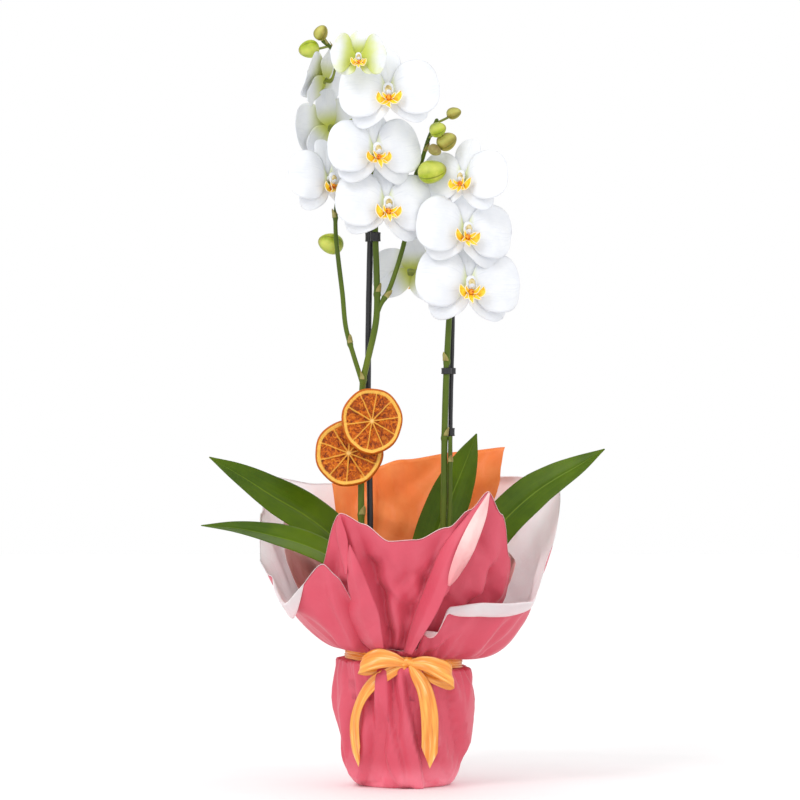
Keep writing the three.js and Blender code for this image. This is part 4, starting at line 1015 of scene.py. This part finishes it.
# ---------- flowers ----------
PETAL_LENGTH, PETAL_HALF_WIDTH = 50.0, 28.0
SEPAL_LENGTH, SEPAL_HALF_WIDTH = 45.0, 15.5
PETAL_LIFT, SEPAL_LIFT, TEPAL_CUP = 2.5, -2, 4
PETAL_OUTLINE = [0.1, 0.3, 0.68, 0.93, 1.0, 0.97, 0.8, 0.5, 0.0]
SEPAL_OUTLINE = [0.22, 0.45, 0.75, 0.95, 1.0, 0.92, 0.74, 0.44, 0.0]
FLOWERS = [
    ([-45, -66, 721], 6, 6, 0, 0.6, LEFT_SPIKE, 721), ([-15, -48, 689], 0, 10, -4, 1, LEFT_SPIKE, 674),
    ([-79, -6, 704], -116, 16, 0, 0.84, LEFT_SPIKE, 732), ([-74, 4, 657], -142, 0, 10, 0.88, LEFT_SPIKE, 670),
    ([-29, -38, 631], 20, 10, 0, 0.97, LEFT_SPIKE, 618), ([-76, -22, 603], 36, 8, 0, 0.9, LEFT_BRANCH, 586),
    ([-18, -29, 578], 16, 10, 4, 1.03, LEFT_SPIKE, 566), ([8, 26, 513], 160, -10, 0, 0.86, RIGHT_SPIKE, 503),
    ([60.5, -21, 605], -22, 10, 0, 0.9, RIGHT_SPIKE, 596), ([60.5, -19, 553], 20, 10, 8, 1, RIGHT_SPIKE, 540),
    ([64, -14, 499], 16, 10, 4, 1.08, RIGHT_SPIKE, 476),
]
YOUNG = 0  # the first flower is still half closed
SEEN_BEHIND = (2, 3, 7)  # these turn their greenish backs to the front


def turn_matrix(turn, tilt, roll):
    z, x, y = np.radians([turn, -tilt, roll])
    about_z = np.array([[np.cos(z), -np.sin(z), 0], [np.sin(z), np.cos(z), 0], [0, 0, 1]])
    about_x = np.array([[1, 0, 0], [0, np.cos(x), -np.sin(x)], [0, np.sin(x), np.cos(x)]])
    about_y = np.array([[np.cos(y), 0, np.sin(y)], [0, 1, 0], [-np.sin(y), 0, np.cos(y)]])
    return about_z @ about_x @ about_y


def tepal(shape, degrees, length, half_width, outline, lift, cup, rng, closed):
    """One petal or sepal in the flower's own axes: it faces -Y and points along the angle from +Z."""
    rows, cols = 30, 21
    t = np.linspace(0, 1, rows)
    u = (1 - np.cos(math.pi * t)) / 2
    v = np.linspace(-1, 1, cols)[None, :]
    half = width_curve(outline, t) * half_width
    a = math.radians(degrees)
    away, forward = np.array([math.sin(a), 0, math.cos(a)]), np.array([0, -1.0, 0])
    side = np.cross(forward, away)
    bend = closed * u * 1.5
    reach = 2 + (length - 2) * (u if closed == 0 else np.cumsum(np.cos(bend)) / rows)
    out = lift + cup * 4 * u * (1 - u) - 3.5 * u ** 3 + closed * length * 0.75 * u ** 1.3
    phase = rng.uniform(0, 6, 3)
    waves = (1.1 * np.sin(7 * u + phase[0])[:, None] * v + 0.8 * np.sin(11 * u + phase[1])[:, None] * v ** 2)
    arch = (0.6 * closed - 0.05) * half[:, None] * v ** 2
    edge_roll = -0.5 * np.clip(np.abs(v) - 0.8, 0, 1) * 5 * rng.uniform(-0.6, 1)
    groove = -0.55 * np.exp(-(v / 0.06) ** 2) * np.sin(math.pi * u)[:, None]
    push = out[:, None] + waves * smooth(u, 0.1, 0.5)[:, None] + arch + groove + edge_roll
    grid = reach[:, None, None] * away + (v * half[:, None])[..., None] * side + push[..., None] * forward
    thickness = 0.35 + 0.75 * (1 - v ** 2) * (1 - 0.6 * u)[:, None]
    v_all, u_all = np.broadcast_to((v + 1) / 2, (rows, cols)), np.broadcast_to(u[:, None], (rows, cols))
    thin_sheet(shape, grid, thickness, uvs=np.stack([v_all, u_all], axis=-1))


def lobe(shape, points, half_widths, curl, rng):
    """A small blade of the lip along a curve,
         its edges curled to the front. Its points after the first stray a little."""
    points = np.array(points, float)
    points[1:] += rng.normal(0, 0.55, (len(points) - 1, 3))
    spine = smooth_path(points, 16)
    tangent = unit(np.gradient(spine, axis=0))
    side = unit(np.stack([-tangent[:, 2], 0 * tangent[:, 0], tangent[:, 0]], axis=1))
    half = width_curve(half_widths, np.linspace(0, 1, 16))[:, None]
    v = np.linspace(-1, 1, 9)[None, :]
    grid = spine[:, None] + (v * half)[..., None] * side[:, None]
    grid[..., 1] -= curl * v ** 2
    thin_sheet(shape, grid, 0.6, (1, 1, 1))


def flower_centre(shape, rng):
    """Column with its cap, two raised yellow wings, the speckled callus and the short three-fingered middle lobe."""
    eye = np.eye(3)
    blob(shape, (0, 0.5, -1), eye, (5, 3.2, 5), 5)
    column = smooth_path([[0, 0, 0], [0, -5, 1.2], [0, -9.5, 0.4], [0, -11.8, -2.8]], 14)
    tube(shape, column, 2.7 + 1.3 * smooth(np.linspace(0, 1, 14), 0.2, 0.9), 14, 3)
    blob(shape, (0, -11.0, 1.4), eye, (5.0, 2.8, 5.0), 3, 12, 16)
    blob(shape, (0, -13.8, -1.6), eye, (3.3, 1.7, 4.6), 4, 10, 14)
    for s in (-1, 1):
        blob(shape, (4.2 * s, -12.2, -2.0), eye, (0.9, 1.6, 4.0), 3, 8, 10)
        lobe(shape, [[1.0 * s, -7, -10.5], [5.2 * s, -10, -12.4], [9.6 * s, -12, -9.6], [11.6 * s, -12.6, -3.6]],
             [1.8, 3.0, 3.7, 3.9, 3.4, 2.2, 0.2], 1.6, rng)
        lobe(shape, [[0.8 * s, -9, -10.5], [4.4 * s, -14, -14.6], [8.6 * s, -16.2, -16.8]],
             [1.6, 2.2, 2.1, 1.4, 0.2], 0.9, rng)
        lobe(shape, [[1.0 * s, -9, -9.5], [4.4 * s, -14.6, -8.6], [6.6 * s, -16.4, -4.6]],
             [1.4, 1.9, 1.9, 1.3, 0.2], 0.9, rng)
    lobe(shape, [[0, -9, -10.5], [0, -14, -15.5], [0.5, -16, -21]], [2.0, 2.7, 2.8, 1.8, 0.2], 1.0, rng)
    blob(shape, (0, -10.6, -8.8), eye, (3.5, 3.2, 3.0), 2, 10, 14,
         lambda p: p * (1 + 0.16 * np.sin(9 * p[:, :1] + 2) * np.cos(8 * p[:, 2:] + 1)))


def pedicel(shape, start, backwards, path, height, bow, slot, swell=0.9):
    """The stalk from the back of a flower or bud to its stem."""
    joint = path[index_at_height(path, height)]
    middle = (start + backwards * bow) * 0.55 + joint * 0.45
    curve = smooth_path([start, start + backwards * bow * 0.5, middle, joint * 0.75 + middle * 0.25, joint], 20)
    share = np.linspace(0, 1, 20)
    radii = 1.25 + swell * np.exp(-((share - 0.12) / 0.16) ** 2) + 0.45 * smooth(share, 0.85, 1)
    tube(shape, curve, radii, 10, slot)


def add_flowers():
    for k, (at, turn, tilt, roll, size, path, joins) in enumerate(FLOWERS):
        rng = np.random.default_rng(100 + k)
        shape = Shape()
        closed = 0.34 if k == YOUNG else 0.0
        vary = lambda amount: rng.uniform(1 - amount, 1 + amount)
        tepal(shape, rng.normal(0, 2), SEPAL_LENGTH * vary(0.03), SEPAL_HALF_WIDTH * vary(0.05), SEPAL_OUTLINE,
              SEPAL_LIFT, TEPAL_CUP, rng, closed)
        for side in (-1, 1):
            tepal(shape, side * (129 + rng.normal(0, 3)), SEPAL_LENGTH * vary(0.03), SEPAL_HALF_WIDTH * vary(0.05),
                  SEPAL_OUTLINE, SEPAL_LIFT, TEPAL_CUP, rng, closed)
        for side in (-1, 1):
            tepal(shape, side * (84 + rng.normal(0, 2)), PETAL_LENGTH * vary(0.02),
                  PETAL_HALF_WIDTH * vary(0.03) * (1 + 0.6 * closed), PETAL_OUTLINE, PETAL_LIFT, TEPAL_CUP,
                  rng, closed)
        flower_centre(shape, rng)
        matrix = turn_matrix(turn, tilt, roll)
        centre = np.array(at, float)
        shape.place(matrix * size, centre)
        pedicel(shape, centre, matrix @ np.array([0, 1.0, 0]), path, joins, 14, 5)
        petal = "petal_young" if k == YOUNG else "petal_back" if k in SEEN_BEHIND else "petal"
        name = f"flower_{k + 1}"
        make_piece(name, shape, [petal, "lip", "callus", "petal", "column",
                                 "pedicel"])


# ---------- buds ----------
BUDS = [
    ([-82, -25, 749], 8, 7, 28, LEFT_SPIKE, 733, "bud_tan"), ([-94, -22, 733], 10.5, 9, -100, LEFT_SPIKE, 735, "bud"),
    ([-73, 12, 541], 13, 10.5, -75, LEFT_BRANCH, 545, "bud"),
    ([50, -26, 669], 7.5, 6, 75, RIGHT_BRANCH, 658, "bud_tan"),
    ([34, -36, 652], 8.5, 7.5, 70, RIGHT_BRANCH, 644, "bud"),
    ([43, -26, 641], 10.5, 9, 60, RIGHT_BRANCH, 652, "bud_tan"),
    ([31, -32, 632], 7, 5.5, 120, RIGHT_BRANCH, 634, "bract"),
    ([28.5, -27, 611], 14.5, 11.5, 78, RIGHT_BRANCH, 600, "bud"),
]


def seamed(points):
    """A bud's body: three soft seams that meet at a blunt tip."""
    turn = np.arctan2(points[:, 1], points[:, 0])
    seam = 1 - 0.12 * np.exp(-(np.sin(1.5 * (turn + 0.9)) / 0.13) ** 2) * np.sqrt(
        np.clip(1 - points[:, 2] ** 2, 0, 1))
    shaped = points.copy()
    shaped[:, :2] *= (seam * (1 - 0.16 * points[:, 2]))[:, None]
    return shaped


def add_buds():
    for k, (at, long, wide, lean, path, joins, paint) in enumerate(BUDS):
        shape = Shape()
        centre = np.array(at, float)
        a = math.radians(lean)
        axes = np.array([[math.cos(a), 0, -math.sin(a)], [0, 1, 0], [math.sin(a), 0, math.cos(a)]])
        blob(shape, centre, axes, (wide, wide, long), 0, 20, 30, seamed)
        pedicel(shape, centre, np.array([0, 0.6, -0.4]), path, joins, 4, 1, 0.3)
        name = f"bud_{k + 1}"
        make_piece(name, shape, [paint, "pedicel"])


# ---------- dried orange slices ----------
SLICE_RADIUS, SLICE_THICKNESS = 33.0, 5.0
SLICES = [("orange_slice_upper", [-31.5, -22.5, 363], 4, 3, 0.92, 0.3),
          ("orange_slice_lower", [-54.5, -14, 331], -3, 3, 1.03, 1.1)]


def add_slices():
    for name, at, turn, tilt, wide, phase in SLICES:
        rng = np.random.default_rng(int(phase * 10))
        sides, rings = 200, 30
        around = turns(sides)
        r = np.linspace(0.02, 1, rings)[:, None]
        count = around * SEGMENTS / (2 * math.pi) + phase
        beside = np.abs((count % 1) - 0.5)[None, :] * r
        wobble = 1 + 0.012 * np.sin(3 * around + phase) + 0.01 * np.sin(7 * around + 2 * phase)
        pulp = smooth(beside, 0.02, 0.07) * smooth(r, 0.06, 0.16) * (1 - smooth(r, 0.8, 0.87))
        rough = sum(rng.uniform(0.1, 0.3) * np.sin(f * around + 20 * r + rng.uniform(0, 6)) for f in (23, 31, 47))
        rim = 0.9 * smooth(r, 0.86, 0.94) * (1 - smooth(r, 0.95, 1.0) * 0.6)
        warp = 1.1 * np.sin(2 * around + 3 * phase)[None, :] * r ** 2
        depth = SLICE_THICKNESS / 2 - 1.0 * pulp + rough * pulp + rim - 1.2 * smooth(r, 0.965, 1.0)
        x = r * SLICE_RADIUS * wobble * np.cos(around) * wide
        z = r * SLICE_RADIUS * wobble * np.sin(around)
        front = np.stack([x, warp - depth, z], axis=-1).reshape(-1, 3)
        back = np.stack([x, warp + depth, z], axis=-1).reshape(-1, 3)
        faces = grid_faces(rings, sides, True)
        size = rings * sides
        all_faces = faces.tolist() + (faces[:, ::-1] + size).tolist()
        last = (rings - 1) * sides
        for j in range(sides):
            k = (j + 1) % sides
            all_faces.append([last + k, last + j, last + j + size, last + k + size][::-1])
        all_faces += [list(range(sides))[::-1], [j + size for j in range(sides)]]
        uvs = np.stack([np.broadcast_to(count, (rings, sides)), np.broadcast_to(r, (rings, sides))], axis=-1)
        flat = uvs.reshape(-1, 2)
        shape = Shape()
        shape.add(np.vstack([front, back]), all_faces, 0, np.vstack([flat, flat]))
        shape.place(turn_matrix(turn, tilt, 0), np.array(at, float))
        make_piece(name, shape, ["slice"])
    wire = Shape()
    tube(wire, smooth_path([
        [-27, -19.8, 352], [-27.5, -8, 352], [-28, 2, 352], [-31, 9.2, 352], [-38, 9, 351.5], [-43, 3.8, 351],
        [-46, -2, 350], [-48, -9, 349],
    ], 40), 0.6, 8)
    make_piece("slice_wire", wire, ["wire"])


# ---------- ribbon ----------
RIBBON_THICKNESS = 0.5


def strip(shape, rows, count, waves=0.0, point_end=0.0):
    """A ribbon along rows of x, y, z and the vector across its width. point_end cuts its end to a point."""
    path = smooth_path([r[:6] for r in rows], count)
    v = np.linspace(-1, 1, 13)
    share = np.linspace(0, 1, count)[:, None]
    if point_end:
        share = share * (1 - point_end * np.abs(v - 0.15)[None, :] / 1.15)
    at = share * np.ones_like(v) * (count - 1)
    low = np.minimum(at.astype(int), count - 2)
    part = (at - low)[..., None]
    spots = path[low] * (1 - part) + path[low + 1] * part
    centre, width = spots[..., :3], spots[..., 3:]
    grid = centre + width * v[None, :, None] / 2
    normal = unit(np.cross(width, np.gradient(centre, axis=0)))
    ripple = waves * np.sin(3.2 * v[None, :] + 9 * share) * np.cos(2.0 * v[None, :] + 4 * share)
    grid = grid + normal * ripple[..., None]
    thin_sheet(shape, grid, RIBBON_THICKNESS)


def add_ribbon():
    angle = turns(220)
    levels = np.linspace(-1, 1, 25)[:, None]
    roll = 0.9 * np.abs(np.sin(levels * 4.6 + 0.5 * np.sin(3 * angle))) + 0.25 * np.sin(11 * angle + 5 * levels)
    radius = NECK_RADIUS + 2.0 + roll
    height = neck_height(angle) + levels * 4.3
    shape = Shape()
    thin_sheet(shape, about_axis(radius, angle, height), RIBBON_THICKNESS, around=True)
    band = make_piece("ribbon_band", shape, ["satin"])
    bow = Shape()
    strip(bow, [  # left loop
        [2, -66, 125, 0, 0, 7], [-10, -73, 129, 1, 2, 14], [-26, -76.5, 130, 3, 4, 20], [-38, -73.5, 126, 4, 4, 20],
        [-42.5, -68, 122.5, 3, 2, 16], [-36, -64.5, 121.5, 0, 2, 17], [-14, -63.4, 124, 0, 1, 12],
        [2, -63.6, 125, 0, 0, 6],
    ], 70, 0.8)
    strip(bow, [  # right loop
        [7, -66, 125, 0, 0, 8], [20, -73, 125, -2, 1, 15], [35, -78, 120, -5, 2, 22], [45.5, -76.5, 115, -6, 3, 24],
        [48.5, -71.5, 112, -4, 4, 22], [43, -67.5, 109, -3, 3, 20], [25, -65.5, 114, 0, 2, 14],
        [7, -63.6, 124, 0, 0, 7],
    ], 70, 0.9)
    strip(bow, [  # left tail, seen almost edge on
        [2, -66.5, 124, -2, 0, 7], [-12, -69.8, 116.5, -3, 1, 11], [-28, -66.5, 107, -6, 4, 11],
        [-40, -60.5, 92, -8, 7, 6], [-47.5, -56.5, 71, -9, 9, 1], [-48, -55.3, 48, -9, 9, -1],
        [-43.5, -55.8, 22, -8, 8, -2],
    ], 60, 0.8, 0.16)
    strip(bow, [  # right tail
        [6, -66.5, 124, 3, 0, 7], [12, -70, 115, 9, 2, 8], [20, -70, 101, 14, 4, 6], [25, -68, 79, 16.5, 5, 1],
        [26, -65.8, 55, 16.5, 5, 0], [24.5, -62.8, 21, 16, 5, -1],
    ], 60, 0.9, 0.2)
    blob(bow, (4.5, -64.2, 126), np.eye(3), (6.6, 4.4, 5.2), 0, 16, 26,
         lambda p: p * (1 + 0.07 * np.sin(8 * p[:, :1] + 1) * np.cos(3 * p[:, 2:])))
    piece = make_piece("ribbon_bow", bow, ["satin"])


# ---------- pot, bark, roots, crown ----------
BARK_RADIUS = 53.0
BARK_CHIPS = 230


def add_bark():
    shape = Shape()
    rng = np.random.default_rng(5)
    turn = turns(64)
    keys = [(0.5, 6), (41, 6), (54, 92), (53, 98), (46, 99.5), (30, 99.5), (12, 99), (0.5, 99)]
    rings = [[(r * math.cos(a), r * math.sin(a), z + (0.5 * math.sin(5 * a + r) if z > 95 else 0)) for a in turn]
             for r, z in keys]
    faces = grid_faces(len(keys), len(turn), True).tolist()
    faces += [list(range(len(turn)))[::-1], [(len(keys) - 1) * len(turn) + j for j in range(len(turn))]]
    shape.add(np.array(rings), faces, 0)
    for _ in range(BARK_CHIPS):
        spread = BARK_RADIUS * math.sqrt(rng.uniform(0, 1))
        a = rng.uniform(0, 2 * math.pi)
        centre = (spread * math.cos(a) * 0.93, spread * math.sin(a) * 0.93, 98.8 + rng.uniform(-1, 1.4))
        axes = turn_matrix(rng.uniform(0, 360), rng.uniform(-20, 20), rng.uniform(-20, 20))
        size = (rng.uniform(4, 8.5), rng.uniform(2.5, 5), rng.uniform(1, 1.9))
        sharp = rng.uniform(0.35, 0.6)
        blob(shape, centre, axes, size, 0, 6, 8, lambda p: np.sign(p) * np.abs(p) ** sharp)
    make_piece("bark_substrate", shape, ["bark"])


def add_crown():
    shape = Shape()
    top = 135.8
    levels = np.linspace(0, 1, 16)
    core = np.stack([0 * levels, 0 * levels, 101.8 + levels * (top - 103.8)], axis=1)
    tube(shape, core, width_curve([10.5, 12.6, 12, 10.5, 8, 4], levels), 24)
    for turn, lean in ((0, 0.2), (95, 0.25), (180, 0.2), (265, 0.25)):  # old leaf bases
        a = math.radians(turn)
        out = np.array([math.cos(a), math.sin(a), 0])
        t = np.linspace(0, 1, 10)[:, None]
        v = np.linspace(-1.1, 1.1, 13)[None, :]
        reach = 12.6 - 1.8 * t + lean * 3 * t ** 3
        grid = np.stack([
            reach * np.cos(a + v * (1 - 0.75 * t ** 2)), reach * np.sin(a + v * (1 - 0.75 * t ** 2)),
            103 + 20 * t + 0 * v,
        ], axis=-1)
        thin_sheet(shape, grid, 0.9)
    make_piece("orchid_crown", shape, ["stem"])
    rest, start = 104.4, 13.6
    for k, degrees in enumerate((75, 140, 250)):
        def ray(radius, turn, height):
            a = math.radians(degrees + turn)
            return [radius * math.cos(a), radius * math.sin(a), height]
        path = smooth_path([ray(start, 0, rest + 5), ray(24, 4, rest + 3), ray(34, 16, rest), ray(43, 34, rest)], 40)
        wave = np.random.default_rng(k).uniform(0, 6)
        root = Shape()
        tube(root, path, 2.5 + 0.18 * np.sin(np.linspace(0, 18, 40) + wave), 14)
        make_piece(f"root_{k + 1}", root, ["root"])


# ---------- setting ----------
FLOOR_HALF = 6.0
FLOOR_FADE = (0.6, 2.6)  # metres over which the floor fades to white
LIGHTS = [  # name, place, aim, size and power
    ("key", (-1.3, -1.9, 2.3), (0, 0, 0.35), 1.0, 26), ("fill", (2.2, -2.0, 1.2), (0, 0, 0.35), 1.8, 5),
    ("back", (0.6, 2.0, 2.0), (0, 0, 0.4), 1.6, 5),
]
CAMERA_PLACE = (-0.0035, -4.0, 0.384)
CAMERA_LENS, CAMERA_SENSOR = 180, 36


def add_setting():
    scene = bpy.context.scene
    mesh = bpy.data.meshes.new("floor")
    half = FLOOR_HALF
    mesh.from_pydata([(-half, -half, 0), (half, -half, 0), (half, half, 0), (-half, half, 0)], [], [(0, 1, 2, 3)])
    floor = bpy.data.objects.new("floor", mesh)
    scene.collection.objects.link(floor)
    paint = Paint("pale_floor", Roughness=0.75)
    near = paint.ramp(paint.noise(paint.where(), 8, 3), [(0.3, (0.91, 0.91, 0.91, 1)), (0.7, (0.94, 0.94, 0.94, 1))])
    away = paint.node("ShaderNodeVectorMath", {0: paint.where()}, operation="LENGTH").outputs["Value"]
    paint.colour(paint.mix(paint.grey(away, *FLOOR_FADE), near, (1, 1, 1, 1)))
    mesh.materials.append(paint.material)
    world = bpy.data.worlds.new("studio")
    world.use_nodes = True
    world.node_tree.nodes["Background"].inputs[0].default_value = (1, 1, 1, 1)
    world.node_tree.nodes["Background"].inputs[1].default_value = 1.0
    scene.world = world
    for name, place, aim, size, power in LIGHTS:
        light = bpy.data.lights.new(name, "AREA")
        light.energy, light.size = power, size
        lamp = bpy.data.objects.new(name, light)
        lamp.location = place
        lamp.rotation_euler = (Vector(aim) - Vector(place)).to_track_quat("-Z", "Y").to_euler()
        scene.collection.objects.link(lamp)
    camera = bpy.data.cameras.new("camera")
    camera.lens, camera.sensor_width = CAMERA_LENS, CAMERA_SENSOR
    eye = bpy.data.objects.new("camera", camera)
    eye.location = CAMERA_PLACE
    eye.rotation_euler = (math.radians(90), 0, 0)
    scene.collection.objects.link(eye)
    scene.camera = eye
    scene.view_settings.view_transform = "Standard"


add_setting()
wrapped_sheet("paper_outer", OUTER_RIM, 0, OUTER_HEMS, OUTER_CREASES, 3)
wrapped_sheet("paper_inner", INNER_RIM, 1, [], INNER_CREASES, 4)
orange_sheet()
add_stems()
add_supports()
add_leaves()
add_flowers()
add_buds()
add_slices()
add_ribbon()
add_bark()
add_crown()
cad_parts["nursery_pot"].data.materials.clear()
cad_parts["nursery_pot"].data.materials.append(PAINTS["plastic"])


bpy.context.view_layer.update()
